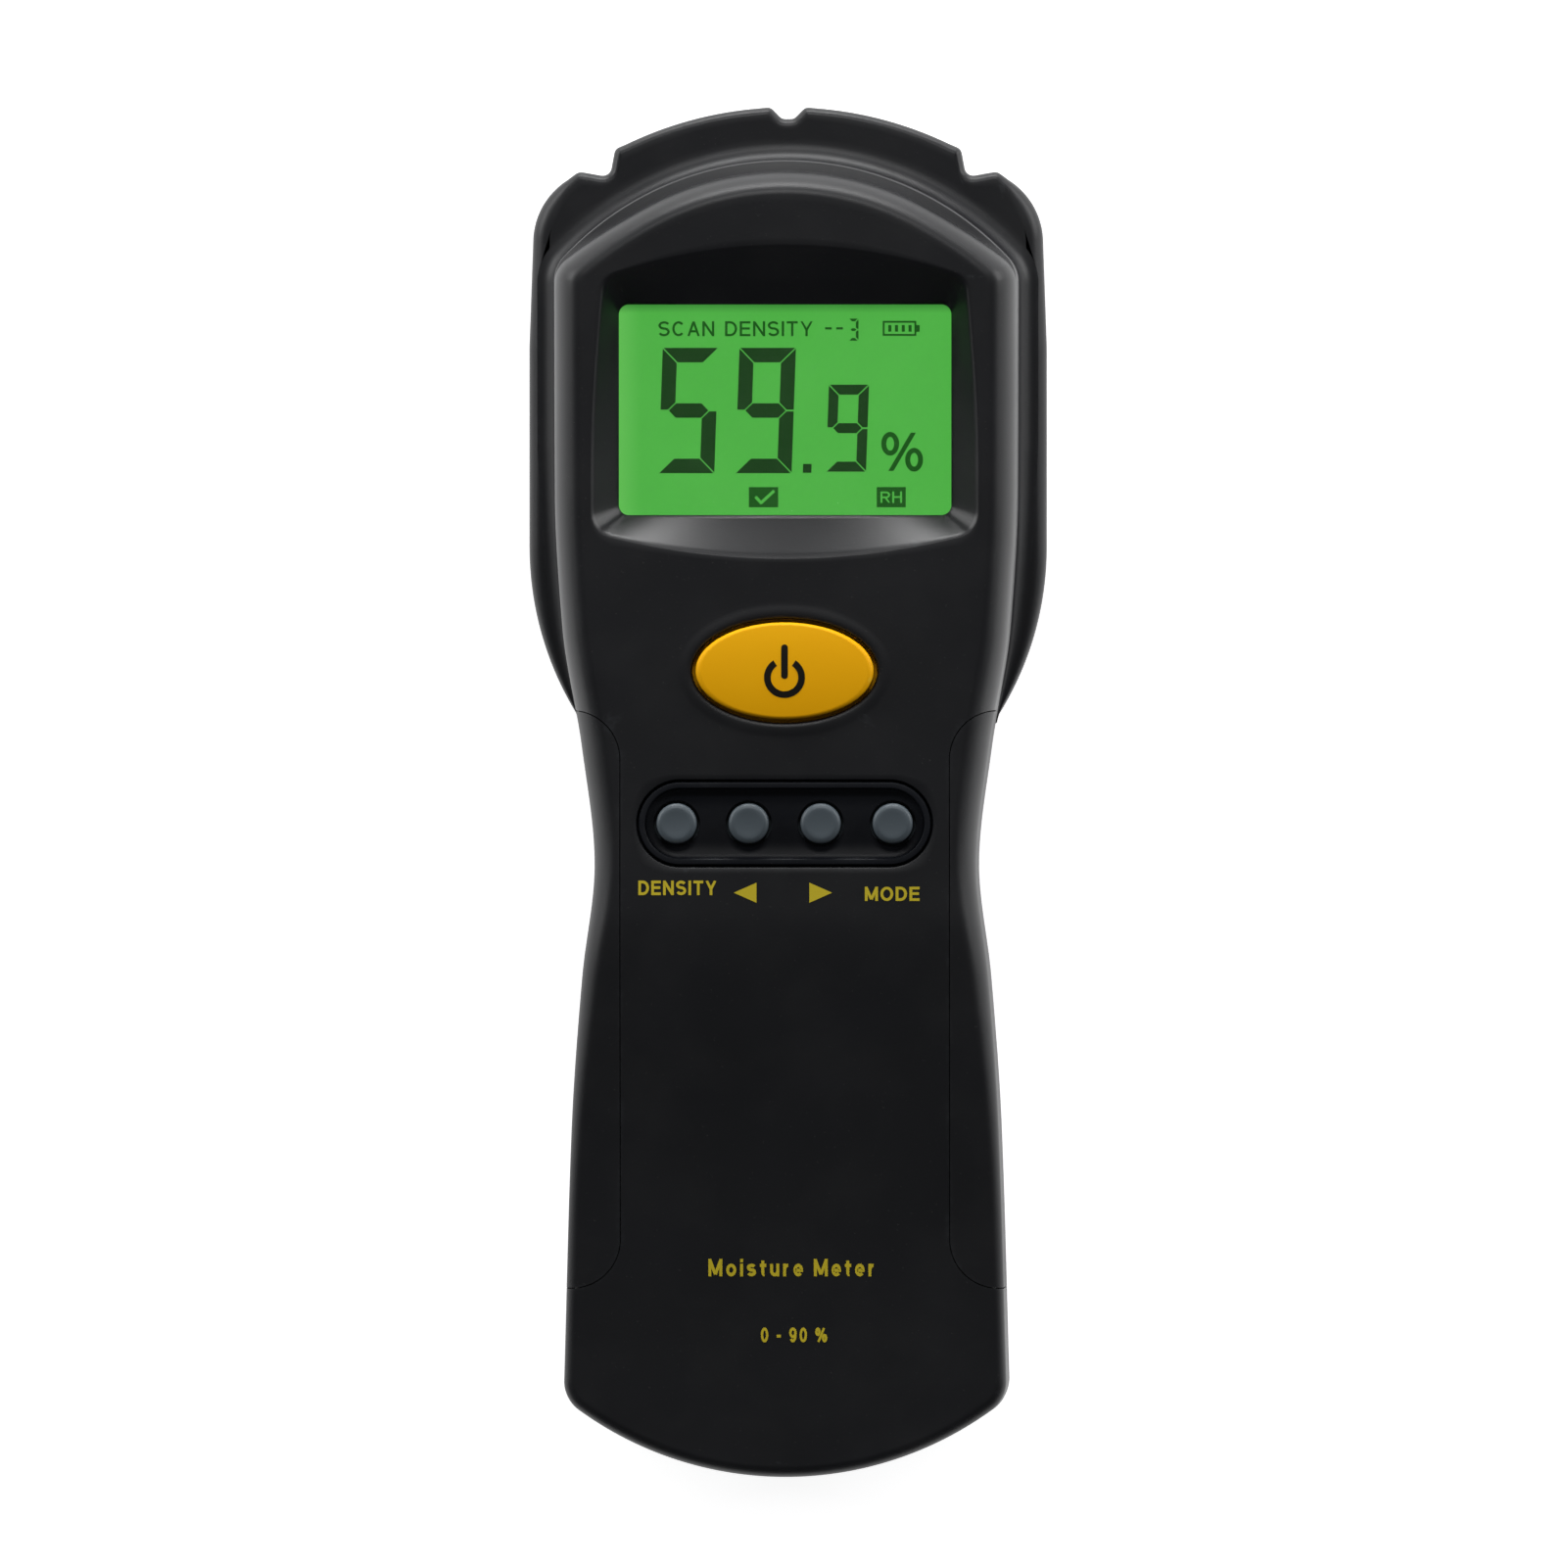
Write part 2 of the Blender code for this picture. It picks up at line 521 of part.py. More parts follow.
def switch(name, x, y):
    """Tact switch on the board: a body with a hole, and the plunger that slides in it."""
    body = block(name + "_switch", (x - 3, x + 3), (y - 3, y + 3), (BOARD_Z[1] + GAP, SWITCH_TOP))
    floor = PLUNGER_Z[0] - POWER_TRAVEL - GAP
    cut(body, turned(name + "_switch_form", ((0, 25), (2.0, 25), (2.0, floor), (0, floor)), (x, y, 0), FORMS, 12))
    finish(body, (0.03, 0.03, 0.032), 0.45)
    low, high = PLUNGER_Z
    plunger = turned(name + "_switch_plunger", ((0, high), (1.5, high), (1.65, high - 0.2), (1.65, low), (0, low)),
                     (x, y, 0), steps=12)
    finish(plunger, (0.5, 0.06, 0.03), 0.5)


def keys():
    """The oval power key and the four round keys, each with a flange that holds it in and a stem."""
    foot = PLUNGER_Z[1] + GAP
    a = POWER_AXES[0] / 2
    profile = ((0, 35.0), (a * 0.5, 34.95), (a - 1.2, 34.7), (a - 0.35, 34.3), (a, 33.7), (a, 31.5), (a + 1.3, 31.4),
               (a + 1.3, 30.6), (0, 30.6))
    power = turned("power_key", profile, (0, POWER_Y, 0), steps=24)
    squeeze = POWER_AXES[1] / POWER_AXES[0]
    power.scale.y = squeeze
    join(power, turned("power_stem_form", ((0, 31), (2.0, 31), (2.0, foot), (0, foot)), (0, POWER_Y, 0), FORMS, 12))
    finish(power, (0.70, 0.36, 0.01), 0.4)
    switch("power", 0, POWER_Y)
    for name, x in zip(KEY_NAMES, key_places()):
        profile = ((0, 34.7), (1.8, 34.6), (2.4, 34.4), (KEY_R, 33.9), (KEY_R, 29.7), (3.7, 29.7), (3.7, 28.9),
                   (1.5, 28.9), (1.5, foot), (0, foot))
        finish(turned(name + "_key", profile, (x, KEY_Y, 0), steps=14), (0.10, 0.12, 0.13), 0.6)
        switch(name, x, KEY_Y)


# ---------------------------------------------------------------- display and boards

def display():
    """Clear window, liquid crystal glass, its frame, the backlight and the two elastomer contact strips."""
    window = slab("display_window", rounded_box(-24.2, 24.2, SCREEN_Y - 16, SCREEN_Y + 16, 1.5), 28.1, 29.3)
    finish(window, (0.8, 0.85, 0.85), 0.05, alpha=0.3)
    glass = block("lcd_glass", (-25, 25), (SCREEN_Y - 17, SCREEN_Y + 17), (25.8, 27.8))
    finish(glass, (0.06, 0.45, 0.05), 0.15)
    frame = block("lcd_frame", (-27.2, 27.2), (SCREEN_Y - 19.2, SCREEN_Y + 19.2), (20.7, 27.6))
    cut(frame, block("lcd_pocket_form", (-25.3, 25.3), (SCREEN_Y - 17.3, SCREEN_Y + 17.3), (25.5, 29), FORMS))
    cut(frame, block("lcd_well_form", (-23.6, 23.6), (SCREEN_Y - 16.5, SCREEN_Y + 16.5), (19, 29), FORMS))
    finish(frame, (0.7, 0.7, 0.68), 0.5)
    guide = block("backlight_guide", (-23, 23), (SCREEN_Y - 13.6, SCREEN_Y + 13.6), (22.4, 25.2))
    finish(guide, (0.75, 0.85, 0.7), 0.3)
    leds = block("backlight_led_board", (-15, 15), (SCREEN_Y - 3, SCREEN_Y + 3), (20.7, 21.4))
    for k in (-1, 0, 1):
        join(leds, block(f"led_form_{k}", (9 * k - 1.5, 9 * k + 1.5), (SCREEN_Y - 1, SCREEN_Y + 1), (21, 22.1), FORMS))
    finish(leds, (0.75, 0.75, 0.7), 0.5)
    for name, sign in (("upper", 1), ("lower", -1)):
        y = sorted((SCREEN_Y + sign * 14.1, SCREEN_Y + sign * 16.1))
        finish(block(name + "_contact_strip", (-23, 23), y, (20.7, 25.5)), (0.5, 0.1, 0.12), 0.7)


def main_board():
    """Main circuit board with its screw holes and the parts on its underside."""
    right = np.array(((26.5, 71.5), (26.5, 30.0), (21.8, 25.0), (21.8, -19.0)))
    outline = np.vstack((right, right[::-1] * (-1, 1)))
    board = slab("main_board", outline, *BOARD_Z)
    for k, (x, y) in enumerate(BOARD_SCREWS):
        cut(board, turned(f"board_hole_form_{k}", ((0, 22), (1.4, 22), (1.4, 17), (0, 17)), (x, y, 0), FORMS, 12))
    finish(board, (0.02, 0.12, 0.05), 0.4)
    top = BOARD_Z[0] - GAP
    finish(block("processor_chip", (-6, 6), (38, 50), (top - 1.5, top)), (0.02, 0.02, 0.02), 0.4)
    finish(block("amplifier_chip", (9, 14), (40, 44), (top - 1.5, top)), (0.02, 0.02, 0.02), 0.4)
    crystal = slab("clock_crystal", obround(11, 4.6, 34.0, 5), top - 3.4, top)
    finish(crystal, STEEL, 0.25, 1.0)
    capacitor = turned("smoothing_capacitor", ((0, top), (2.5, top), (2.5, top - 5.5), (2.1, top - 5.9), (0, top - 5.9)),
                       (-14, 12, 0))
    finish(capacitor, (0.03, 0.04, 0.12), 0.35)


def sensor():
    """Pad under the head, the electrode board over it, the foam that presses it down, and its lead."""
    pad = slab("sensor_pad", sole_outline(), 0, 1.6, bottom_round=0.4, steps=1)
    finish(pad, (0.03, 0.03, 0.033), 0.7)
    board = slab("sensor_board", rounded_box(-24, 24, 22, 70, 1.0, 2), 3.3, 4.9)
    finish(board, (0.02, 0.12, 0.05), 0.4)
    foam = slab("sensor_foam", rounded_box(-20, 20, 34, 68, 2.0, 3), 5.2, 9.2)
    finish(foam, (0.06, 0.06, 0.065), 0.95)
    finish(wire("sensor_lead", through(SENSOR_ROUTE, 14), LEAD_R), (0.05, 0.05, 0.05), 0.5)


# ---------------------------------------------------------------- battery bay

def battery_door():
    """Door over the bay: a plate with two hooked tabs at its hinge end and a latch tongue at the tail."""
    outline = rounded_box(-DOOR_HALF, DOOR_HALF, *DOOR_Y, 1.5) - (0, HINGE_Y)
    door = slab("battery_door", outline, 0, DOOR_T)
    door.location.y = HINGE_Y * MM
    for side in (1, -1):
        x = sorted((7.8 * side, 13.2 * side))
        riser = block(f"tab_riser_form_{side}", x, (HINGE_Y - 1.5, HINGE_Y - 0.3), (DOOR_T / 2, 3.2), FORMS)
        tab = block(f"tab_form_{side}", x, (HINGE_Y - 1.5, HINGE_Y + 1.5), (2.3, 3.2), FORMS)
        join(door, riser, tab)
    edge = DOOR_Y[0]
    tongue = block("latch_tongue_form", (-5, 5), (edge + 0.4, edge + 1.2), (DOOR_T / 2, 5.6), FORMS)
    hook = block("latch_hook_form", (-5, 5), (edge + 0.15, edge + 1.0), (3.4, 4.4), FORMS)
    join(door, tongue, hook)
    cut(door, slab("thumb_form", ellipse(16, 7, DOOR_Y[0] + 7, 16), -1, 0.6, FORMS))
    return finish(door, BLACK, 0.5)


def cell(name, x, nub_y, direction):
    """AAA cell lying along Y, its nub's tip at nub_y and pointing to +Y or -Y."""
    length = CELL_BODY
    profile = ((0, 0), (1.9, 0), (1.9, -CELL_NUB), (CELL_R - 0.4, -CELL_NUB), (CELL_R, -CELL_NUB - 0.4),
               (CELL_R, -CELL_NUB - length + 0.4), (CELL_R - 0.4, -CELL_NUB - length), (0, -CELL_NUB - length))
    obj = turned(name, profile, (x, nub_y, CELL_Z), steps=14, axis="Y")
    if direction < 0:
        obj.rotation_euler.x = math.pi / 2
    return finish(obj, (0.02, 0.02, 0.025), 0.3, 0.6)


def spring(name, x, wide_y, narrow_y):
    """Cone shaped coil of wire, wide at the contact plate and narrow at the cell."""
    turns, per_turn, r = 2.5, 8, 0.32
    count = int(turns * per_turn) + 1
    share = np.linspace(0, 1, count)
    radius = 3.3 - 1.1 * share
    angle = 2 * math.pi * turns * share
    run = math.copysign(abs(narrow_y - wide_y) - 2 * r, narrow_y - wide_y)
    y = wide_y + math.copysign(r, run) + run * share
    points = np.column_stack((x + radius * np.cos(angle), y, CELL_Z + radius * np.sin(angle)))
    return finish(wire(name, points, r, sides=2), STEEL, 0.25, 1.0)


def contacts():
    """Sheet metal contacts at both ends of the bay. The two terminals have tabs up through the bay's roof."""
    places = (("positive_terminal", (-15.5, -6.5), HEAD_CONTACT_Y, -CELL_PITCH),
              ("head_bridge_contact", (-4.5, 15.5), HEAD_CONTACT_Y, None),
              ("tail_bridge_contact", (-15.5, 4.5), TAIL_CONTACT_Y, None),
              ("negative_terminal", (6.5, 15.5), TAIL_CONTACT_Y, CELL_PITCH))
    for name, x, y, tab_x in places:
        plate = block(name, x, y, (4.7, 12.6))
        if tab_x is not None:
            join(plate, block(name + "_tab_form", (tab_x - 1.3, tab_x + 1.3), y, (12, 17.2), FORMS))
        finish(plate, STEEL, 0.3, 1.0)


def battery_pack():
    """The three cells in series, their contacts and springs, and the two leads to the main board."""
    low, high = BAY_Y[0] + 1.0, BAY_Y[1] - 1.0
    length = CELL_BODY + CELL_NUB
    cell("battery_cell_left", -CELL_PITCH, high, 1)
    cell("battery_cell_middle", 0, low, -1)
    cell("battery_cell_right", CELL_PITCH, high, 1)
    spring("battery_spring_left", -CELL_PITCH, low, high - length - GAP)
    spring("battery_spring_middle", 0, high, low + length + GAP)
    spring("battery_spring_right", CELL_PITCH, low, high - length - GAP)
    contacts()
    finish(wire("red_battery_lead", through(RED_ROUTE, 14), LEAD_R), (0.5, 0.02, 0.02), 0.5)
    finish(wire("black_battery_lead", through(BLACK_ROUTE, 26), LEAD_R), (0.02, 0.02, 0.02), 0.5)


def screws():
    """Case screws, driven from the back into the front posts, and board screws."""
    case = ((0, 20.0), (0.6, 20.0), (0.95, 19.2), (0.95, 4.2), (2.6, 4.2), (2.6, 3.2), (1.9, 2.4), (0, 2.4))
    board = ((0, 24.0), (0.5, 24.0), (0.9, 23.4), (0.9, 18.5), (2.1, 18.5), (2.1, 17.7), (1.5, 17.2), (0, 17.2))
    for label, profile, places in (("case", case, CASE_SCREWS), ("board", board, BOARD_SCREWS)):
        for k, (x, y) in enumerate(places, 1):
            name = f"{label}_screw_{k}"
            finish(turned(name, profile, (x, y, 0), steps=10), STEEL, 0.35, 1.0)


front_housing()
rear_housing()
side_grip(1, "right_side_grip")
side_grip(-1, "left_side_grip")
key_bezel()
keys()
display()
main_board()
sensor()
battery_door()
battery_pack()
screws()
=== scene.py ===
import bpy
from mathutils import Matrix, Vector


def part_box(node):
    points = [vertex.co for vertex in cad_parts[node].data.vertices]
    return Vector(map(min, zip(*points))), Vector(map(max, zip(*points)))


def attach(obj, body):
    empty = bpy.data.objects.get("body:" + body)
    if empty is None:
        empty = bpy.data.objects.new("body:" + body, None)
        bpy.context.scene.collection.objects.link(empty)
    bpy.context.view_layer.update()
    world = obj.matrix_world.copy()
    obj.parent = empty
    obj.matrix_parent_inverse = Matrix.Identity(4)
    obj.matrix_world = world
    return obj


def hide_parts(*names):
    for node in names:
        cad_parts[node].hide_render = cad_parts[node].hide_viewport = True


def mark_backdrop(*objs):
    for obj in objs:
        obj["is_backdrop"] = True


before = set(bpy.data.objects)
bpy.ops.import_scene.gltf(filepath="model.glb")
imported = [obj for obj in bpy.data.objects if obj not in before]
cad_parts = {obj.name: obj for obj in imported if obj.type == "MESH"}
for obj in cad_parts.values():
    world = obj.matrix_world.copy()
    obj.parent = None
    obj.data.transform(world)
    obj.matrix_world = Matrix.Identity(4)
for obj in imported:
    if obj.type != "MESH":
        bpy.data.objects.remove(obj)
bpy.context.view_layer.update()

import math

import bmesh
import bpy
import numpy as np
from mathutils import Vector

# Sizes are in millimetres, in the model's own frame: +Z out of the display, +Y to the sensor head.
MM = 0.001
GAP = 0.3                      # clearance between fitted pieces

# Heights
PART_Z = 13.0                  # the plane where the two shells meet
FACE_Z = 34.0                  # the front face round the display and the keys
FOOT_Z = 6.5                   # top of the sensor foot
FRONT_BASE = PART_Z + GAP / 2
REAR_TOP = PART_Z - GAP / 2
COLLAR = 1.35                  # height of the rear shell's locating collar inside the front shell
PLATE_T, SEAT_Z = 1.6, 1.9     # top of the battery door and the sensing plate, and top of their seats

# Body outline, as right half: arch, corner, side through the stations (y, half width), corner, tail arc
ARCH_Y, ARCH_R = 44.0, 41.0
TAIL_Y, TAIL_R = -45.0, 47.5
CORNER_R, LEAST_CORNER = 5.0, 2.2
SIDE_STATIONS = ((68.6, 31.3), (40.0, 31.2), (22.0, 30.2), (6.0, 27.6), (-10.0, 25.85),
                 (-25.0, 27.5), (-45.0, 28.9), (-79.4, 29.95))
# The face sinks towards the tail: (y, how far)
FACE_DROP = ((40.0, 0.0), (-16.0, 0.0), (-30.0, 0.9), (-45.0, 2.2), (-60.0, 3.2), (-75.0, 3.8), (-92.5, 4.2))
DRAFT = 0.2                    # the front housing's sides lean in by this much
# The edge of the face is a quarter of an ellipse, here by width and height, eased from one size to the other
HEAD_EDGE, TAIL_EDGE, EDGE_EASED_Y = (3.7, 6.5), (1.5, 2.0), (-62.0, 12.0)
# The ledge round the arch of the head: its width, and where it grows to that
HEAD_LEDGE, LEDGE_EASED_Y = 1.5, (67.0, 80.0)
SEAM = 0.14                    # open seam round each side grip
BACK_R = 3.0                   # round edge of the back

# Display
SCREEN_Y = 51.2
WINDOW = (44.8, 28.4, 1.4)     # the opening over the screen: width, length and corner
# The display recess: the foot of its walls and its floor, then its edge at the face, which is two arcs
# (centre's y, radius, end's x) and a leaning side
FUNNEL_Z, FUNNEL_FLOOR_Z = 30.2, 28.0
FUNNEL_ARC_TOP = (1.1, 72.0, 22.6)
FUNNEL_ARC_LOW = (128.4, 97.0, 23.2)
FUNNEL_SIDE_X, FUNNEL_SIDE_Y, FUNNEL_LEAN = 24.5, (67.3, 37.2), 1.4

# Keys
POWER_Y = 16.1
POWER_AXES = (23.9, 13.0)
KEY_Y, KEY_PITCH, KEY_R = -4.4, 9.67, 2.7
TROUGH = (39.5, 11.4)          # the insert round the four keys
KEY_NAMES = ("density", "left_arrow", "right_arrow", "mode")
KEY_X = [(k - 1.5) * KEY_PITCH for k in range(4)]

# Screws, and the profile (radius, height) of the well of a case screw
CASE_SCREWS = ((13.0, 75.8), (-13.0, 75.8), (20.0, -80.2), (-20.0, -80.2))
BOARD_SCREWS = ((18.0, 26.0), (-18.0, 26.0), (17.0, -15.0), (-17.0, -15.0))
SCREW_WELL = ((0, 14), (1.6, 14), (1.6, 4.5), (3.0, 4.5), (3.0, 0.25), (3.3, -0.1), (3.3, -1), (0, -1))

# Side grips
GRIP_X, GRIP_Y, GRIP_CORNER, GRIP_T = 22.2, (-66.8, 10.7), 6.5, 1.0

OUTSIDE = 50.0                 # an x past the side of the body, for the forms that cut right through it

# Meshing
ACROSS = 36                    # columns between the middle plane and the edge of the face
FILLET_STEP = 0.3              # about the longest chord on a filleted corner
WELD, LEAST_EDGE = 2e-6, 1e-7  # in metres
SHARP = math.radians(32)       # edges that turn by more than this are shaded sharp


# ---------------------------------------------------------------- curves in the plan

def arc(cx, cy, r, start, end, count):
    """Points at equal angles on a circle, from one angle to the other in degrees."""
    angles = np.radians(np.linspace(start, end, count))
    return np.column_stack((cx + r * np.cos(angles), cy + r * np.sin(angles)))


def smooth(stations, y):
    """A cubic through the stations; its slope at each is the harmonic mean of the slopes beside it."""
    ys, ws = np.array(sorted(stations)).T
    steep = np.diff(ws) / np.diff(ys)
    product = steep[1:] * steep[:-1]
    total = steep[1:] + steep[:-1]
    inner = np.where(product > 0, 2 * product / np.where(total == 0, 1, total), 0.0)
    slopes = np.concatenate((steep[:1], inner, steep[-1:]))
    k = np.clip(np.searchsorted(ys, y) - 1, 0, len(ys) - 2)
    h = ys[k + 1] - ys[k]
    t = (np.clip(y, ys[0], ys[-1]) - ys[k]) / h
    return ((1 + 2 * t) * (1 - t) ** 2 * ws[k] + t * (1 - t) ** 2 * h * slopes[k]
            + t * t * (3 - 2 * t) * ws[k + 1] + t * t * (t - 1) * h * slopes[k + 1])


def evenly(points, count):
    """The same run of points, sampled again at equal distances along it."""
    points = np.asarray(points, float)
    along = np.concatenate(([0.0], np.cumsum(np.linalg.norm(np.diff(points, axis=0), axis=1))))
    want = np.linspace(0, along[-1], count)
    return np.column_stack([np.interp(want, along, points[:, k]) for k in range(points.shape[1])])


def offset(points, distance):
    """Moves a right half, run from top to bottom, inwards along its normals.

    Its two ends stay on the middle plane.
    """
    along = np.gradient(points, axis=0)
    along[0] = (1, 0)
    along[-1] = (-1, 0)
    along /= np.linalg.norm(along, axis=1)[:, None]
    distance = np.broadcast_to(distance, len(points))[:, None]
    return points + distance * np.column_stack((along[:, 1], -along[:, 0]))


def body_half(d=0.0):
    """Right half of the body's outline moved inwards by d, from the top of the arch to the tail's middle.

    The arch and the tail lose d from their radii, the side moves along its normals, and each corner is the
    circle that touches both its neighbours, its radius never below a least one.
    """
    r = max(CORNER_R - d, LEAST_CORNER)
    (_, top_half), (_, low_half) = SIDE_STATIONS[0], SIDE_STATIONS[-1]
    top_x, low_x = top_half - d - r, low_half - d - r
    top_y = ARCH_Y + math.sqrt((ARCH_R - d - r) ** 2 - top_x ** 2)
    low_y = TAIL_Y - math.sqrt((TAIL_R - d - r) ** 2 - low_x ** 2)
    turn = math.degrees(math.atan2(top_y - ARCH_Y, top_x))
    low_turn = math.degrees(math.atan2(low_y - TAIL_Y, low_x))
    side_y = np.linspace(top_y, low_y, 170)
    side = np.column_stack((smooth(SIDE_STATIONS, side_y), side_y))
    slope = np.gradient(side[:, 0], side_y)
    normals = np.column_stack((np.ones_like(slope), -slope)) / np.sqrt(1 + slope ** 2)[:, None]
    side[1:-1] -= d * normals[1:-1]
    return np.vstack((
        arc(0, ARCH_Y, ARCH_R - d, 90, turn, 50),
        arc(top_x, top_y, r, turn, 0, 16)[1:],
        side[1:-1],
        arc(low_x, low_y, r, 0, low_turn, 16),
        arc(0, TAIL_Y, TAIL_R - d, low_turn, -90, 44)[1:],
    ))


BODY = body_half()


def filleted(corners):
    """A path through (x, y, radius) corners, each rounded by an arc that touches both of its sides."""
    made = [np.array(corners[0][:2], float)]
    for before, here, after in zip(corners, corners[1:], corners[2:]):
        p, r = np.array(here[:2], float), here[2]
        a, b = (np.array(q[:2], float) - p for q in (before, after))
        a, b = a / np.linalg.norm(a), b / np.linalg.norm(b)
        half = math.acos(max(-1.0, min(1.0, float(a @ b)))) / 2
        if r == 0 or half > math.radians(89):
            made.append(p)
            continue
        middle = p + (a + b) / np.linalg.norm(a + b) * r / math.sin(half)
        sweep = math.pi - 2 * half
        count = max(3, int(r * sweep / FILLET_STEP) + 2)
        spoke = p + a * r / math.tan(half) - middle
        side = 1.0 if a[0] * b[1] - a[1] * b[0] < 0 else -1.0
        for angle in np.linspace(0, sweep * side, count):
            c, s = math.cos(angle), math.sin(angle)
            made.append(middle + np.array((c * spoke[0] - s * spoke[1], s * spoke[0] + c * spoke[1])))
    made.append(np.array(corners[-1][:2], float))
    return np.array(made)


def foot_half():
    """Right half of the sensor foot's edge, with half of the middle notch and the hooked shoulder notch."""
    def curve(*circle):
        return [(x, y, 0) for x, y in arc(*circle)]

    middle_notch = [(0, 90.85, 0), (0.8, 90.85, 0.9), (2.35, 92.45, 1.0)]
    shoulder_notch = [(23.4, 86.8, 1.0), (24.1, 83.0, 1.2), (28.3, 83.75, 1.3)]
    side = [(35.0, 60.0, 0), (35.0, 48.0, 0)]
    return filleted([*middle_notch, *curve(0, 42.12, 50.33, 85.4, 64.4, 24), *shoulder_notch,
                     *curve(24.6, 74.2, 9.9, 58, 0, 20), *side, *curve(-8.0, 33.0, 43.0, 0, -33.2, 34)])


def oval(width, length, cy, count):
    """Right half of an ellipse, from its top to its bottom."""
    angles = np.linspace(math.pi / 2, -math.pi / 2, count)
    return np.column_stack((width / 2 * np.cos(angles), cy + length / 2 * np.sin(angles)))


def obround(width, length, cy, count):
    """Right half of a slot with round ends, from its top to its bottom."""
    r = length / 2
    flat = width / 2 - r
    run = np.vstack(((0.0, cy + r), arc(flat, cy, r, 90, -90, 60), (0.0, cy - r)))
    return evenly(run, count)


def soft_box(half, low, high, r, shares):
    """Right half of a rectangle with round corners; shares gives the intervals on its five stretches."""
    runs = (((0, high), (half - r, high)), arc(half - r, high - r, r, 90, 0, 20),
            ((half, high - r), (half, low + r)), arc(half - r, low + r, r, 0, -90, 20),
            ((half - r, low), (0, low)))
    return stitched(runs, shares)


def stitched(runs, shares):
    """Runs that follow one another as one run, each sampled evenly into its own share of intervals."""
    parts = [evenly(run, n + 1)[:-1] for run, n in zip(runs, shares)]
    return np.vstack((*parts, np.asarray(runs[-1], float)[-1:]))


def funnel_edge(shares):
    """Right half of the display recess at the face: arched top, leaning side and shallow curved bottom."""
    top_cy, top_r, top_x = FUNNEL_ARC_TOP
    low_cy, low_r, low_x = FUNNEL_ARC_LOW
    xs = np.linspace(0, top_x, 30)
    top = np.column_stack((xs, top_cy + np.sqrt(top_r ** 2 - xs ** 2)))
    xs = np.linspace(low_x, 0, 30)
    low = np.column_stack((xs, low_cy - np.sqrt(low_r ** 2 - xs ** 2)))
    ys = np.linspace(*FUNNEL_SIDE_Y, 30)
    lean = FUNNEL_LEAN * np.sin(np.clip((FUNNEL_SIDE_Y[0] - ys) / 24, 0, 1) * math.pi / 2)
    side = np.column_stack((FUNNEL_SIDE_X + lean, ys))
    corner_top = bent(top[-1], (24.3, top[-1][1] - 0.6), side[0])
    corner_low = bent(side[-1], (25.7, low[0][1] + 0.6), low[0])
    return stitched((top, corner_top, side, corner_low, low), shares)


def bent(start, pull, end):
    """A quadratic curve from start to end, pulled towards a corner point."""
    t = np.linspace(0, 1, 16)[:, None]
    return (1 - t) ** 2 * np.asarray(start) + 2 * t * (1 - t) * np.asarray(pull) + t * t * np.asarray(end)


# ---------------------------------------------------------------- surfaces from grids of points

def drop(y):
    """How far the front face has sunk at y."""
    return smooth(FACE_DROP, y)


def face_height(y):
    """Height of the front face: flat round the display and keys, then falling to the tail."""
    return FACE_Z - drop(y)


def at(points, z):
    """Plan points lifted to a height, or to one height each."""
    return np.column_stack((points, np.broadcast_to(z, len(points))))


def lowered(points, z):
    """Plan points at a height that sinks with the front face, less and less down to the parting."""
    share = np.clip((z - PART_Z) / (FACE_Z - PART_Z), 0, 1)
    return at(points, z - share * drop(points[:, 1]))


def between(first, last, rows):
    """A grid of straight lines from one run of points to another."""
    t = np.linspace(0, 1, rows)[:, None, None]
    return (1 - t) * first[None] + t * last[None]


def ladder(ring, columns=ACROSS):
    """A grid of level lines from the middle plane out to each point of a right half."""
    share = np.linspace(0, 1, columns)[None, :, None]
    middle = ring * (0, 1, 1)
    return (1 - share) * middle[:, None] + share * ring[:, None]


def to_centre(loop):
    """Closes a loop's right half by shrinking it to the point at the middle of its height."""
    centre = np.array((0.0, (loop[0, 1] + loop[-1, 1]) / 2, loop[:, 2].mean()))
    return between(loop, np.broadcast_to(centre, loop.shape), 4)


def looped(loop):
    """A loop with its first point repeated at its end."""
    return np.vstack((loop, loop[:1]))


def quads(shape, start):
    """The four-sided cells of a grid, by the numbers of their points, which count from start."""
    index = np.arange(shape[0] * shape[1]).reshape(shape) + start
    return np.stack((index[:-1, :-1], index[1:, :-1], index[1:, 1:], index[:-1, 1:]), axis=-1).reshape(-1, 4)


def piece(name, grids, mirrored=False):
    """Joins grids of points into one closed, welded surface, mirrored over the middle plane if asked."""
    points, faces, count = [], [], 0
    for grid in grids:
        flat = grid.reshape(-1, 3)
        points.append(flat)
        faces.append(quads(grid.shape[:2], count))
        count += len(flat)
        if mirrored:
            points.append(flat * (-1, 1, 1))
            faces.append(quads(grid.shape[:2], count)[:, ::-1])
            count += len(flat)
    return meshed(name, np.vstack(points), np.vstack(faces).tolist())


def meshed(name, points, faces):
    """A linked object from points in millimetres and faces, its seams welded and its normals outwards."""
    mesh = bpy.data.meshes.new(name)
    mesh.from_pydata(points * MM, [], faces)
    bm = bmesh.new()
    bm.from_mesh(mesh)
    bmesh.ops.remove_doubles(bm, verts=bm.verts, dist=WELD)
    bmesh.ops.dissolve_degenerate(bm, edges=bm.edges, dist=LEAST_EDGE)
    bmesh.ops.recalc_face_normals(bm, faces=bm.faces)
    bm.to_mesh(mesh)
    bm.free()
    obj = bpy.data.objects.new(name, mesh)
    bpy.context.scene.collection.objects.link(obj)
    shade(obj)
    return obj


def shade(obj):
    """Smooth shading, broken at the sharp edges."""
    obj.data.shade_smooth()
    obj.data.set_sharp_from_angle(angle=SHARP)


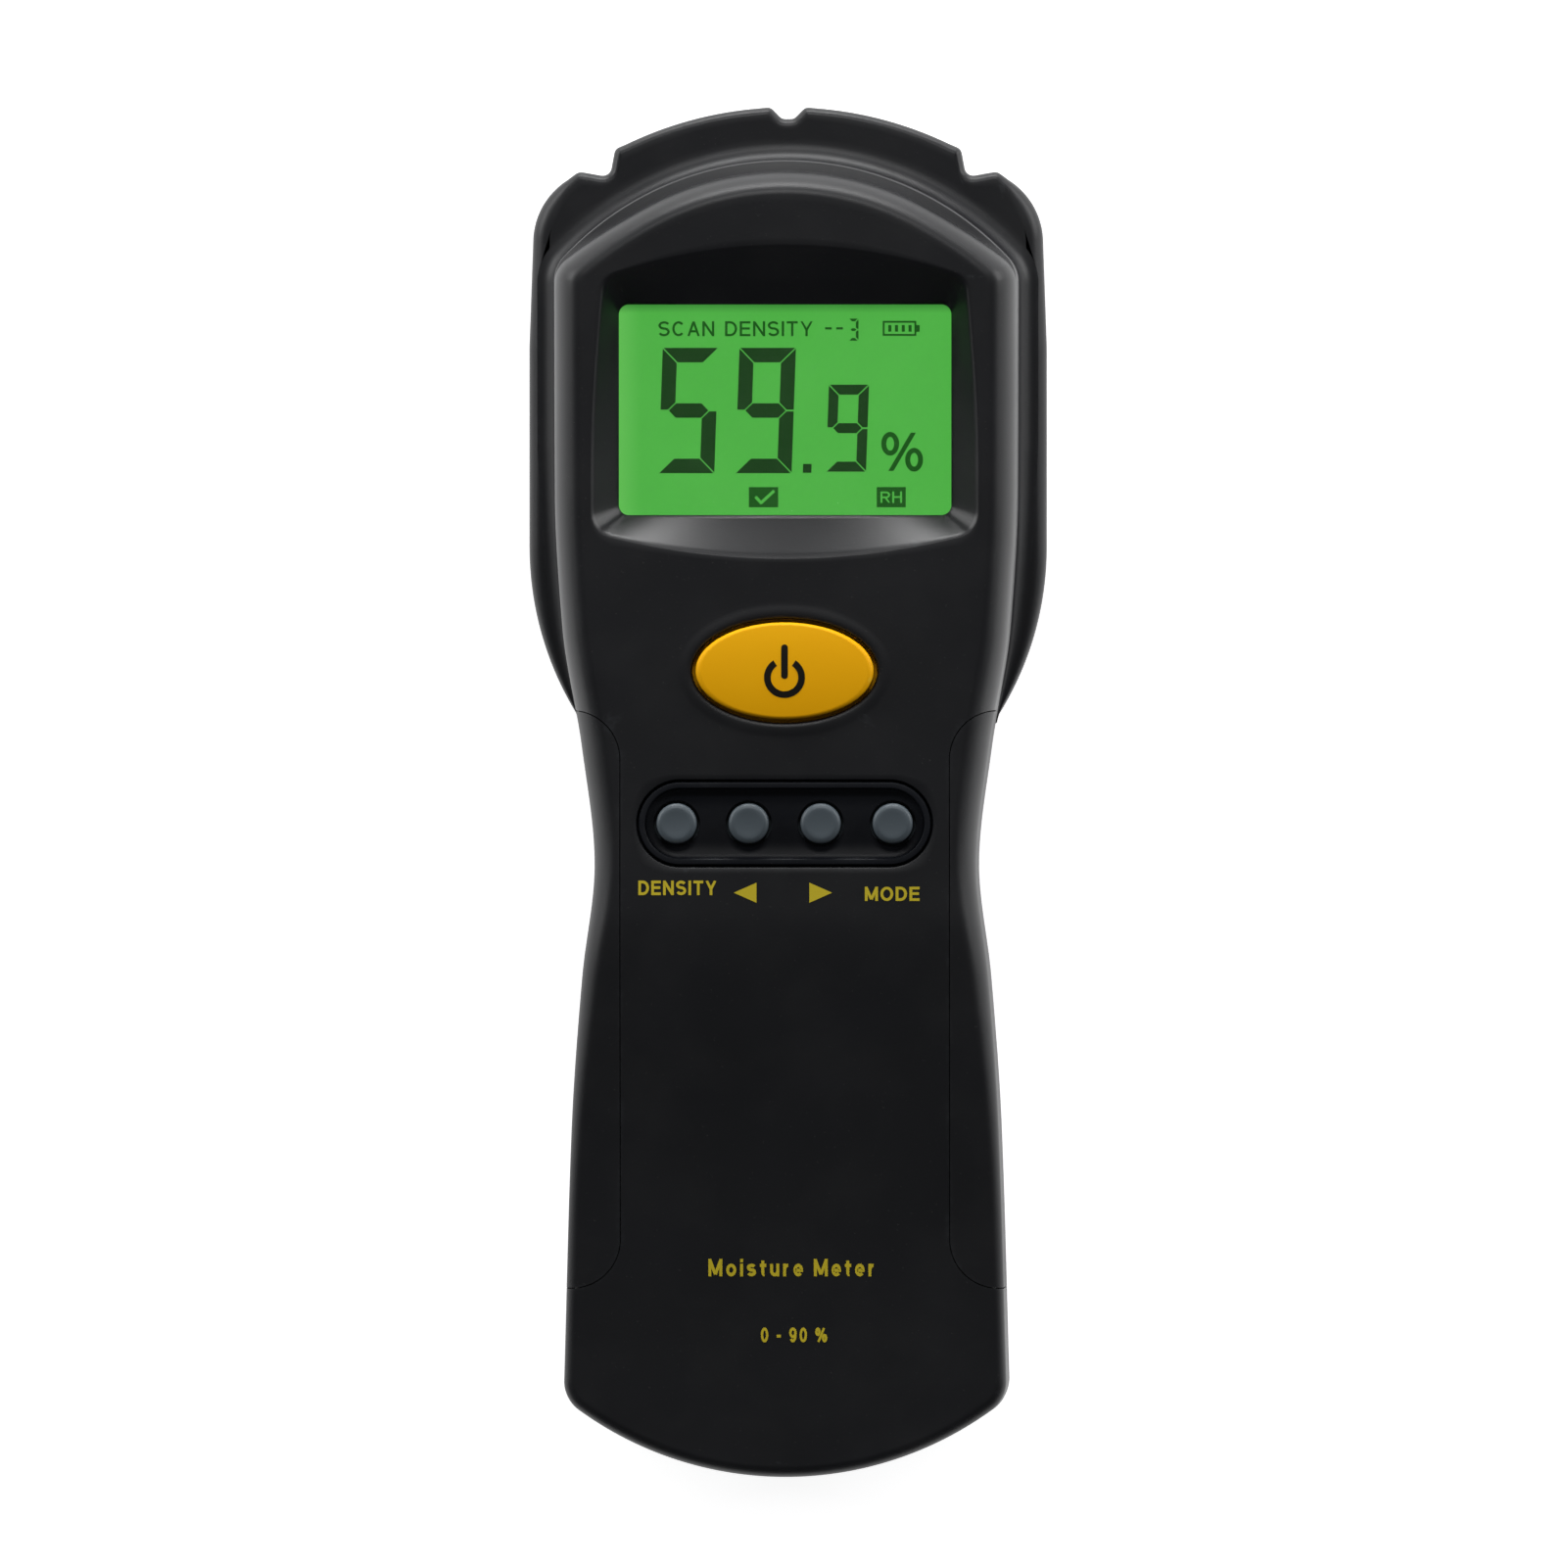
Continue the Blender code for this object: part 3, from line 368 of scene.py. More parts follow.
def carve(obj, *forms, operation="DIFFERENCE"):
    """Cuts, joins or crosses a piece with forms, one after another, and removes the forms."""
    for form in forms:
        modifier = obj.modifiers.new("carve", "BOOLEAN")
        modifier.operation = operation
        modifier.solver = "EXACT"
        modifier.object = form
        bpy.context.view_layer.update()
        result = bpy.data.meshes.new_from_object(obj.evaluated_get(bpy.context.evaluated_depsgraph_get()))
        obj.modifiers.clear()
        old = obj.data
        obj.data = result
        bpy.data.meshes.remove(old)
        bpy.data.objects.remove(form)
    shade(obj)
    return obj


def prism(name, loop, z0, z1):
    """A closed upright prism over any plan loop, its ends shrunk to their middles."""
    low, high = at(looped(loop), z0), at(looped(loop), z1)
    centre = loop.mean(axis=0)
    return piece(name, [between(np.broadcast_to((*centre, z0), low.shape), low, 2), between(low, high, 2),
                        between(high, np.broadcast_to((*centre, z1), high.shape), 2)])


def turned(name, profile, x, y, steps=48, squash=1.0):
    """A profile of (radius, height) carried round an upright axis; squash narrows it along Y."""
    profile = np.asarray(profile, float)
    angles = np.linspace(0, 2 * math.pi, steps + 1)[None]
    r, z = profile[:, :1], profile[:, 1:]
    grid = np.stack((x + r * np.cos(angles), y + squash * r * np.sin(angles), z + 0 * angles), axis=-1)
    return piece(name, [grid])


# ---------------------------------------------------------------- housings

def eased(value, low, high):
    """0 below low, 1 above high, and a smooth S between them."""
    t = np.clip((value - low) / (high - low), 0, 1)
    return t * t * (3 - 2 * t)


def inset_body(distances):
    """The body's outline with its own inset at each point, mixed from the two extreme insets."""
    low, high = distances.min(), distances.max()
    if high - low < 1e-9:
        return body_half(low)
    share = ((distances - low) / (high - low))[:, None]
    return (1 - share) * body_half(low) + share * body_half(high)


def side_rings(distance, base):
    """Rings of the front half of the body: up the leaning side and over the elliptic edge to the face.

    The edge is broad round the head and tight round the tail, and the arch of the head has a ledge below it.
    """
    broad = eased(BODY[:, 1], *EDGE_EASED_Y)
    ledge = HEAD_LEDGE * eased(BODY[:, 1], *LEDGE_EASED_Y)
    width = TAIL_EDGE[0] + (HEAD_EDGE[0] - TAIL_EDGE[0]) * broad - 0.3 * distance - 0.3 * ledge
    height = TAIL_EDGE[1] + (HEAD_EDGE[1] - TAIL_EDGE[1]) * broad - 0.4 * distance
    rise = FACE_Z - distance - height
    even = np.zeros(len(BODY))
    rings = [(distance + 0.2 + even, base + even),
             (distance + 0.02 + even, base + 0.18 + even)]
    rings += [(distance + DRAFT * t + even, base + 0.2 + (rise - base - 0.2) * t)
              for t in (0.08, 0.3, 0.65, 1.0)]
    ledge_shares = {2: 0.03, 4: 0.12, 5: 0.3, 7: 0.85, 8: 0.97}
    for angle in (2, 4, 5, 7, 8, 10, *range(14, 85, 7), 90):
        turn = math.radians(angle)
        rings.append((distance + DRAFT + width * (1 - math.cos(turn)) + ledge * ledge_shares.get(angle, 1.0),
                      rise + height * math.sin(turn)))
    return [lowered(inset_body(d), z) for d, z in rings]


def plain_front(name, distance, base):
    """The front half of the body as a plain solid, every surface moved inwards by the distance."""
    rings = side_rings(distance, base)
    return piece(name, [ladder(rings[0]), np.stack(rings), ladder(rings[-1])], mirrored=True)


def front_housing():
    """Front shell: sides, round edge, and a face laid as patches round the recess, power key and trough."""
    rings = side_rings(0.0, FRONT_BASE)
    face = rings[-1]
    first, second, third = (int(np.argmin(abs(face[:, 1] - y))) for y in (27.2, 4.6, -13.5))
    shell = piece("front_shell", [
        ladder(rings[0]), np.stack(rings),
        *recess_patches(np.vstack((face[:first], level(face[first])[::-1]))),
        *collar_patches(np.vstack((level(face[first]), face[first + 1:second], level(face[second])[::-1]))),
        *trough_patches(np.vstack((level(face[second]), face[second + 1:third], level(face[third])[::-1]))),
        ladder(face[third:]),
    ], mirrored=True)
    cavity = plain_front("cavity", 2.2, FRONT_BASE - 3)
    boss = soft_box(27.6, 29.6, 75.0, 3.0, (8, 6, 8, 6, 8))
    posts, bores = [], []
    for screws, post_r, base, bore_r, top in ((CASE_SCREWS, 3.0, FRONT_BASE, 1.25, 24.0),
                                              (BOARD_SCREWS, 2.2, 20.7, 1.15, 26.0)):
        for x, y in screws:
            posts.append(prism("post", arc(x, y, post_r, 0, 345, 24), base, FACE_Z))
            bores.append(prism("bore", arc(x, y, bore_r, 4, 334, 12), 12.0, top))
    carve(cavity, prism("boss", np.vstack((boss, boss[::-1][1:-1] * (-1, 1))), 29.6, FACE_Z), *posts)
    carve(shell, cavity, *bores)
    for side in (1, -1):
        recess = grip_area(side, SEAM, FRONT_BASE - 2)
        carve(recess, plain_front("bed", GRIP_T + SEAM, FRONT_BASE - 3))
        carve(shell, recess)
    return shell


def level(point):
    """A level run from the middle plane out to a point."""
    return between(point[None] * (0, 1, 1), point[None], ACROSS)[:, 0]


def recess_patches(edge):
    """The face from an edge in to the display recess, then the recess's soft lip, sloping walls and floor."""
    count = len(edge) - 1
    shares = [int(count * s) for s in (0.36, 0.08, 0.26, 0.07)]
    shares.append(count - sum(shares))
    half_w, half_l, r = WINDOW[0] / 2, WINDOW[1] / 2, WINDOW[2]
    outer = funnel_edge(shares)
    inner = soft_box(half_w, SCREEN_Y - half_l, SCREEN_Y + half_l, r, shares)
    lip = at(offset(outer, -0.3), FACE_Z)
    wall_top = at(outer + (inner - outer) * 0.035, FACE_Z - 0.22)
    wall_foot = at(inner, FUNNEL_Z + 0.1)
    pit = offset(inner, 0.05)
    floor_edge = at(pit, FUNNEL_FLOOR_Z)
    return [between(edge, lip, 8),
            np.stack([lip, at(offset(outer, -0.16), FACE_Z - 0.03), at(offset(outer, -0.05), FACE_Z - 0.1),
                      wall_top]),
            between(wall_top, wall_foot, 12),
            np.stack([wall_foot, at(pit, FUNNEL_Z), floor_edge]),
            to_centre(floor_edge)]


def collar_patches(edge):
    """The face from an edge in to the low crest round the power key, then down into the key's well."""
    crest = [(29.2, 0.0), (28.6, 0.01), (28.0, 0.04), (27.4, 0.07), (26.8, 0.09), (26.2, 0.09), (25.6, 0.06),
             (25.25, -0.04), (25.05, -0.25), (24.95, -0.6), (24.85, -1.5), (24.75, -6.0)]
    loops = [at(oval(w, w - 10.9, POWER_Y, len(edge)), FACE_Z + dz) for w, dz in crest]
    return [between(edge, loops[0], 8), np.stack(loops), to_centre(loops[-1])]


def trough_patches(edge):
    """The face from an edge in to the opening for the key insert, then down the opening's walls."""
    walls = [(0.8, 0.0), (0.5, -0.05), (0.34, -0.2), (GAP, -0.45), (GAP, -6.0)]
    loops = [at(obround(TROUGH[0] + g, TROUGH[1] + g, KEY_Y, len(edge)), FACE_Z + dz) for g, dz in walls]
    return [between(edge, loops[0], 6), np.stack(loops), to_centre(loops[-1])]


def grip_area(side, extra, base):
    """Upright prism over a side grip, reaching out past the body."""
    r = GRIP_CORNER + extra
    x, low, high = GRIP_X - extra, GRIP_Y[0] - extra, GRIP_Y[1] + extra
    loop = np.vstack((arc(x + r, high - r, r, 180, 90, 24), ((OUTSIDE, high), (OUTSIDE, low)),
                      arc(x + r, low + r, r, 270, 180, 24)))
    loop = loop if side > 0 else loop[::-1] * (-1, 1)
    return prism("grip_area", loop, base, FACE_Z + 4)


def side_grip(side, name):
    """Soft panel over one edge of the handle, a millimetre thick and flush with the shell round it."""
    grip = plain_front(name, 0.0, FRONT_BASE)
    carve(grip, grip_area(side, 0.0, FRONT_BASE - 1), operation="INTERSECT")
    carve(grip, plain_front("core", GRIP_T, FRONT_BASE - 2))
    return grip


def rear_housing():
    """Rear shell: the notched foot with its round rim, a hollow curve up to the wall, and the back."""
    foot = evenly(foot_half(), 420)
    meet = int(np.argmin(np.linalg.norm(BODY - foot[-1], axis=1)))
    head = evenly(BODY[:meet + 1], len(foot))
    foot = np.vstack((foot[:-1], BODY[meet:]))
    body = np.vstack((head[:-1], BODY[meet:]))
    width = np.linalg.norm(foot - body, axis=1)
    under = BACK_R + (0.6 - BACK_R) * np.clip(width / 3.0, 0, 1)
    rim = np.minimum(1.0 + 1.3 * eased(foot[:, 0], 29.0, 33.5), 0.4 * width)
    lip = np.minimum(0.6 + 0.9 * rim, 2.2)
    hollow = np.minimum(2.6, 0.45 * width)
    quarter = [(1 - math.sin(a), 1 - math.cos(a)) for a in np.radians(np.linspace(0, 90, 7))]
    rings = [at(offset(foot, under * s), under * c) for s, c in quarter]
    rings += [at(offset(foot, rim * c), FOOT_Z - lip * s) for s, c in quarter]
    rings += list(between(at(offset(foot, rim), FOOT_Z), at(offset(body, -hollow), FOOT_Z), 6)[1:-1])
    rings += [at(offset(body, -hollow * s), FOOT_Z + hollow * c) for s, c in quarter]
    rings += [at(offset(body, d), REAR_TOP + dz)
              for d, dz in ((0.1, -0.5), (0.22, -0.15), (0.5, 0.0), (2.5, 0.0), (2.5, COLLAR))]
    spine = np.column_stack((0 * foot[:, 0], np.clip(foot[:, 1], -85.0, 80.0), 0 * foot[:, 0]))
    inner_spine = spine + (0, 0, REAR_TOP + COLLAR)
    shell = piece("rear_shell", [between(spine, rings[0], 24), np.stack(rings),
                                 between(rings[-1], inner_spine, 12)], mirrored=True)
    wells = [turned_form(SCREW_WELL, x, y) for x, y in CASE_SCREWS]
    pockets = [prism("pocket", box_loop(*x, -25.0, -19.75), 1.0, 4.3) for x in ((7.2, 13.8), (-13.8, -7.2))]
    slots = [prism("slot", box_loop(x - 1.7, x + 1.7, y, y + 1.0), 13, 16)
             for x, y in ((-11, -25.0), (11, -73.5))]
    return carve(shell, rear_hollow(), *wells,
                 prism("bay_room", box_loop(-16.8, 16.8, -73.5, -24.0), -1, 14.0),
                 prism("seat", seat_loop(GAP), -1, SEAT_Z), prism("sole_seat", sole_loop(GAP), -1, SEAT_Z),
                 prism("latch", box_loop(-5.6, 5.6, -76.4, -72.5), 1.0, 6.2), *pockets, *slots)


def rear_hollow():
    """Room inside the rear shell, standing clear of the cell bay, the screw posts and the plate's seat."""
    inside = [at(body_half(d), z) for d, z in ((5.4, 2.0), (4.0, 2.5), (3.36, 4.0), (3.36, 20.0))]
    room = piece("hollow", [ladder(inside[0], 12), np.stack(inside), ladder(inside[-1], 12)], mirrored=True)
    posts = [prism("post", arc(x, y, 4.2, 5, 353, 30), 1.0, 12.6) for x, y in CASE_SCREWS]
    return carve(room, prism("bay", box_loop(-19.2, 19.2, -77.0, -20.5), 1.0, 15.2), *posts,
                 prism("sole", box_loop(-27, 27, 18, 73), 1.0, 3.0))


def turned_form(profile, x, y):
    """A turned form from a profile that runs downwards."""
    return turned("turned_form", profile[::-1], x, y, steps=40)


def box_loop(x0, x1, y0, y1):
    """A plan rectangle."""
    return np.array(((x0, y0), (x1, y0), (x1, y1), (x0, y1)), float)


def round_loop(x0, x1, y0, y1, r, count=10):
    """A plan rectangle with round corners."""
    corners = ((x1 - r, y0 + r, -90), (x1 - r, y1 - r, 0), (x0 + r, y1 - r, 90), (x0 + r, y0 + r, 180))
    return np.vstack([arc(cx, cy, r, a, a + 90, count) for cx, cy, a in corners])


def seat_loop(extra):
    """Outline of the battery door, grown by extra."""
    return round_loop(-17.6 - extra, 17.6 + extra, -75.5 - extra, -22.0 + extra, 1.5 + extra)


def sole_loop(extra):
    """Outline of the sensing plate, grown by extra."""
    return round_loop(-24 - extra, 24 + extra, 22 - extra, 68 + extra, 3.0 + extra)


def plate(name, loop_of, z_low, z_high, edge):
    """A flat plate with round upper and lower edges; loop_of gives its outline grown by a distance."""
    turns = np.radians(np.linspace(0, 90, 5))
    quarter = [(edge * (1 - math.sin(a)), edge * (1 - math.cos(a))) for a in turns]
    profile = [(-s, z_low + c) for s, c in quarter] + [(-c, z_high - s) for s, c in quarter]
    loops = [at(looped(loop_of(grow)), z) for grow, z in profile]
    middle = loops[0][:-1, :2].mean(axis=0)
    low, high = (np.broadcast_to((*middle, z), loops[0].shape) for z in (z_low, z_high))
    return piece(name, [between(low, loops[0], 3), np.stack(loops), between(loops[-1], high, 3)])


def key_bezel():
    """Insert with a flat rim and a smooth dished floor, pierced for the four round keys."""
    profile = [(3.4, 30.0), (3.4, 31.4), (-0.3, 31.5), (-0.3, 33.7), (-0.36, 33.84), (-0.5, 33.93),
               (-0.75, 33.96), (-1.7, 33.92), (-1.9, 33.84), (-2.0, 33.6), (-2.1, 32.9), (-2.25, 32.66),
               (-2.6, 32.55)]
    profile += [(-2.6 - 4.0 * t, 32.55 - 0.3 * math.sin(t * math.pi / 2)) for t in np.linspace(0.15, 1, 8)]
    loops = [at(obround(TROUGH[0] + g, TROUGH[1] + g, KEY_Y, 150), z) for g, z in profile]
    bezel = piece("key_trough", [to_centre(loops[0])[::-1], np.stack(loops), to_centre(loops[-1])],
                  mirrored=True)
    well = KEY_R + 0.42
    return carve(bezel, *[turned_form(((0, 36), (well, 36), (well, 29), (0, 29)), x, KEY_Y) for x in KEY_X])


# ---------------------------------------------------------------- keys

CROWN = 0.93                   # share of the power key's width under its crown


def crown_height(share):
    """Height of the power key's crown at a share of the way from its middle to its rim."""
    return 34.95 - 0.28 * share ** 2.4


def power_key():
    """Oval key: a low crown, a soft rim and a flange and stem underneath."""
    a = POWER_AXES[0] / 2
    crown = [(a * t * CROWN, crown_height(t)) for t in np.linspace(0, 1, 10)]
    rim = [(a * CROWN + (a * 0.07) * math.sin(t), 34.67 - 0.75 * (1 - math.cos(t)))
           for t in np.linspace(0.15, math.pi / 2, 9)]
    profile = crown + rim + [(a, 31.5), (a + 1.3, 31.4), (a + 1.3, 30.6), (2.0, 30.6), (2.0, 25.3), (0, 25.3)]
    return turned("power_key_cap", profile[::-1], 0, POWER_Y, steps=128, squash=POWER_AXES[1] / POWER_AXES[0])


def power_height(points):
    """Height of the power key's crown over plan points."""
    a, b = POWER_AXES[0] / 2, POWER_AXES[1] / 2
    return crown_height(np.sqrt((points[:, 0] / a) ** 2 + ((points[:, 1] - POWER_Y) / b) ** 2) / CROWN)


def round_key(name, x):
    """Round key with a slightly hollow top and a soft rim."""
    top = [(1.95 * t, 34.52 + 0.08 * t * t) for t in np.linspace(0, 1, 6)]
    rim = [(1.95 + 0.75 * math.sin(t), 34.6 - 0.62 * (1 - math.cos(t)))
           for t in np.linspace(0.2, math.pi / 2, 8)]
    profile = top + rim + [(KEY_R, 29.7), (3.7, 29.7), (3.7, 28.9), (1.5, 28.9), (1.5, 25.3), (0, 25.3)]
    return turned(name, profile[::-1], x, KEY_Y, steps=64)


# ---------------------------------------------------------------- display

def tiles(name, loops, low, high, surface=None, leaned=0.0):
    """Thin flat tiles over plan loops, standing on a surface if one is given; leaned slants them sideways."""
    points, faces, count = [], [], 0
    for loop in loops:
        n = len(loop)
        index = np.arange(n)
        after = (index + 1) % n
        points += [at(loop, low), at(loop, high)]
        faces += [(index[::-1] + count).tolist(), (index + n + count).tolist()]
        faces += (np.column_stack((index, after, after + n, index + n)) + count).tolist()
        count += 2 * n
    points = np.vstack(points)
    if surface is not None:
        points[:, 2] += surface(points)
    points[:, 0] += leaned * (points[:, 1] - SCREEN_Y)
    return meshed(name, points, faces)


def strip(one, other, low, high, surface=None):
    """Grids of a thin strip between two runs of plan points, laid on a surface and closed all round."""
    grid = np.stack([at(one, low), at(one, high), at(other, high), at(other, low), at(one, low)])
    if surface is not None:
        grid[..., 2] += surface(grid.reshape(-1, 3)).reshape(grid.shape[:2])
    if np.linalg.norm(one[0] - one[-1]) < 1e-6:
        return [grid]
    return [grid, *(between(grid[:2, k], grid[3:1:-1, k], 2) for k in (0, -1))]


def bow(cx, cy, rx, ry, start, end, count=15):
    """Points on part of an ellipse in a letter's own cell, between two angles in degrees."""
    angles = np.radians(np.linspace(start, end, count))
    return list(zip(cx + rx * np.cos(angles), cy + ry * np.sin(angles)))


def waved(top):
    """The middle line of an S whose cell is as high as top."""
    upper = bow(0.5, 0.76 * top, 0.5, 0.24 * top, 25, 270)
    return upper + bow(0.5, 0.26 * top, 0.5, 0.26 * top, 90, -158)[1:]


X_LINE = 0.66                  # height of the small letters, as a share of the capitals'
# Each letter: its width as a share of its height, then the middle lines of its strokes, which are those whose
# ends run on by half a stroke, those cut at their ends, and closed ones.
LETTERS = {
    "A": (0.80, [[(0.2, 0.3), (0.8, 0.3)]], [[(0, -0.1), (0.5, 1.06)], [(1, -0.1), (0.5, 1.06)]], []),
    "C": (0.80, [], [bow(0.5, 0.5, 0.5, 0.5, 42, 318, 25)], []),
    "D": (0.76, [], [],
          [[(0, 0), (0, 1), (0.4, 1), *bow(0.4, 0.5, 0.6, 0.5, 80, -80), (0.4, 0), (0, 0)]]),
    "E": (0.68, [[(0, 0), (0, 1)], [(0, 1), (1, 1)], [(0, 0.52), (0.92, 0.52)], [(0, 0), (1, 0)]], [], []),
    "H": (0.76, [[(0, 0), (0, 1)], [(1, 0), (1, 1)], [(0, 0.52), (1, 0.52)]], [], []),
    "I": (0.0, [[(0.5, 0), (0.5, 1)]], [], []),
    "M": (0.88, [[(0, 0), (0, 1)], [(1, 0), (1, 1)]],
          [[(0, 1.05), (0.5, 0.02)], [(0.5, 0.02), (1, 1.05)]], []),
    "N": (0.76, [[(0, 0), (0, 1)], [(1, 0), (1, 1)]], [[(0, 1.05), (1, -0.05)]], []),
    "O": (0.86, [], [], [bow(0.5, 0.5, 0.5, 0.5, 0, 360, 33)]),
    "R": (0.76, [[(0, 0), (0, 1)]],
          [[(0, 1), (0.6, 1), *bow(0.6, 0.74, 0.38, 0.26, 80, -80), (0.6, 0.48), (0, 0.48)],
           [(0.5, 0.48), (1, -0.12)]], []),
    "S": (0.72, [], [waved(1.0)], []),
    "T": (0.70, [[(0, 1), (1, 1)], [(0.5, 0), (0.5, 1)]], [], []),
    "Y": (0.78, [[(0.5, 0), (0.5, 0.42)]], [[(0, 1.12), (0.5, 0.4)], [(1, 1.12), (0.5, 0.4)]], []),
    "e": (0.60, [], [[(0.05, 0.31), (1, 0.31), *bow(0.5, 0.33, 0.5, 0.33, 8, 318, 25)]], []),
    "i": (0.0, [[(0.5, 0), (0.5, X_LINE)], [(0.5, 0.99), (0.5, 1)]], [], []),
    "o": (0.64, [], [], [bow(0.5, 0.33, 0.5, 0.33, 0, 360, 29)]),
    "r": (0.42, [[(0, 0), (0, X_LINE)]], [[(0, 0.33), *bow(0.9, 0.33, 0.86, 0.33, 160, 84, 9)]], []),
    "s": (0.58, [], [waved(X_LINE)], []),
    "t": (0.40, [[(0, X_LINE), (1, X_LINE)]],
          [[(0.42, 1.0), (0.42, 0.2), *bow(0.85, 0.2, 0.43, 0.2, 190, 280, 9)]], []),
    "u": (0.58, [[(1, 0), (1, X_LINE)]],
          [[(0, X_LINE + 0.1), (0, 0.3), *bow(0.5, 0.3, 0.5, 0.3, 190, 350), (1, 0.3)]], []),
    "0": (0.60, [], [], [bow(0.5, 0.5, 0.5, 0.5, 0, 360, 33)]),
    "9": (0.60, [], [[*bow(0.5, 0.5, 0.5, 0.5, -140, 20)]], [bow(0.5, 0.68, 0.5, 0.32, 0, 360, 27)]),
    "%": (0.95, [], [[(0.2, -0.1), (0.8, 1.1)]], [bow(0.14, 0.76, 0.16, 0.24, 0, 360, 19),
                                                  bow(0.86, 0.24, 0.16, 0.24, 0, 360, 19)]),
    "-": (0.34, [[(0, 0.4), (1, 0.4)]], [], []),
    " ": (0.2, [], [], []),
}


def widened(path, width, closed):
    """The two edges of a stroke of even width round a middle line, mitred where the line turns."""
    step = np.diff(path, axis=0)
    step /= np.linalg.norm(step, axis=1)[:, None]
    normal = np.column_stack((-step[:, 1], step[:, 0]))
    ends = (normal[-1:], normal[:1]) if closed else (normal[:1], normal[-1:])
    before, after = np.vstack((ends[0], normal)), np.vstack((normal, ends[1]))
    mitre = (before + after) / (1 + (before * after).sum(axis=1))[:, None]
    return path + mitre * width / 2, path - mitre * width / 2


def lettering(name, words, x, y, width, height, low, high, surface=None, weight=0.19, spaced=0.16):
    """Words in plain even-stroked letters, fitted to a width and height round a point, laid on a surface.

    Each stroke stands a hair above or below its neighbours, so that no two tops share a plane.
    """
    half, cursor, strokes = weight / 2, 0.0, []
    for letter in words:
        wide, run_on, cut, loops = LETTERS[letter]
        span = max(wide - weight, 0.0)
        for paths in (run_on, cut, loops):
            for path in paths:
                path = np.array(path, float) * (span, 1 - weight) + (cursor + half, half)
                if paths is run_on:
                    ahead = (path[-1] - path[0]) / np.linalg.norm(path[-1] - path[0]) * half
                    path[0] -= ahead
                    path[-1] += ahead
                edges = widened(path, weight, paths is loops)
                strokes.append([np.clip(edge, (-9, 0), (99, 1)) for edge in edges])
        cursor += max(wide, weight) + spaced
    total = cursor - spaced
    grids = []
    for k, edges in enumerate(strokes):
        one, other = (e * (width / total, height) + (x - width / 2, y - height / 2) for e in edges)
        grids += strip(one, other, low, high + 0.004 * (k % 4), surface)
    return piece(name, grids)


def digit(x, y, w, h, t, lit):
    """Loops of the lit bars, t wide, of a seven-bar numeral whose lower left corner is at (x, y)."""
    g, m = 0.11, h / 2
    bars = {
        "a": ((g, h), (w - g, h), (w - t - g, h - t), (t + g, h - t)),
        "b": ((w, h - g), (w, m + g), (w - t / 2, m + g), (w - t, m + t / 2 + g), (w - t, h - t - g)),
        "c": ((w, m - g), (w, g), (w - t, t + g), (w - t, m - t / 2 - g), (w - t / 2, m - g)),
        "d": ((g, 0), (t + g, t), (w - t - g, t), (w - g, 0)),
        "e": ((0, m - g), (t / 2, m - g), (t, m - t / 2 - g), (t, t + g), (0, g)),
        "f": ((0, h - g), (t, h - t - g), (t, m + t / 2 + g), (t / 2, m + g), (0, m + g)),
        "g": ((t / 2 + g, m), (t + g, m + t / 2), (w - t - g, m + t / 2), (w - t / 2 - g, m),
              (w - t - g, m - t / 2), (t + g, m - t / 2)),
    }
    return [np.array(bars[k]) + (x, y) for k in lit]


def bar(x0, y0, x1, y1):
    """A plan rectangle between two opposite corners."""
    return box_loop(x0, x1, y0, y1)


def frame_bars(x0, y0, x1, y1, t):
    """Four bars round a rectangle, as a printed outline."""
    return [bar(x0, y0, x1, y0 + t), bar(x0, y1 - t, x1, y1), bar(x0, y0 + t, x0 + t, y1 - t),
            bar(x1 - t, y0 + t, x1, y1 - t)]


def stroke(points, width):
    """A straight stroke of even width between two points."""
    (x0, y0), (x1, y1) = points
    along = np.array((x1 - x0, y1 - y0)) / math.hypot(x1 - x0, y1 - y0)
    across = np.array((-along[1], along[0])) * width / 2
    return np.array([(x0, y0) - across, (x1, y1) - across, (x1, y1) + across, (x0, y0) + across])


SCREEN_TOP = 27.8
INK = (SCREEN_TOP - 0.02, SCREEN_TOP + 0.06)    # lower and upper side of the screen's bars
INK_MARK = (INK[1] - 0.01, INK[1] + 0.02)       # of the pale marks on its dark boxes
NINE, FIVE, THREE = "abcdfg", "acdfg", "abcdg"


def screen_plate(name, half_x, half_y, corner, low, high, edge):
    """A plate behind the display opening, centred on the screen."""
    def outline(g):
        return round_loop(-half_x - g, half_x + g, SCREEN_Y - half_y - g, SCREEN_Y + half_y + g, corner + g)

    return plate(name, outline, low, high, edge)


def numerals():
    """The reading: two large numerals, a point and a small numeral, slanted a little."""
    loops = [*digit(-16.75, 42.7, 7.5, 16.85, 1.95, FIVE), *digit(-6.45, 42.7, 7.6, 16.85, 1.95, NINE),
             *digit(5.75, 42.9, 5.4, 11.7, 1.35, NINE), bar(2.65, 42.75, 3.8, 43.95)]
    return tiles("screen_numerals", loops, *INK, leaned=0.035)


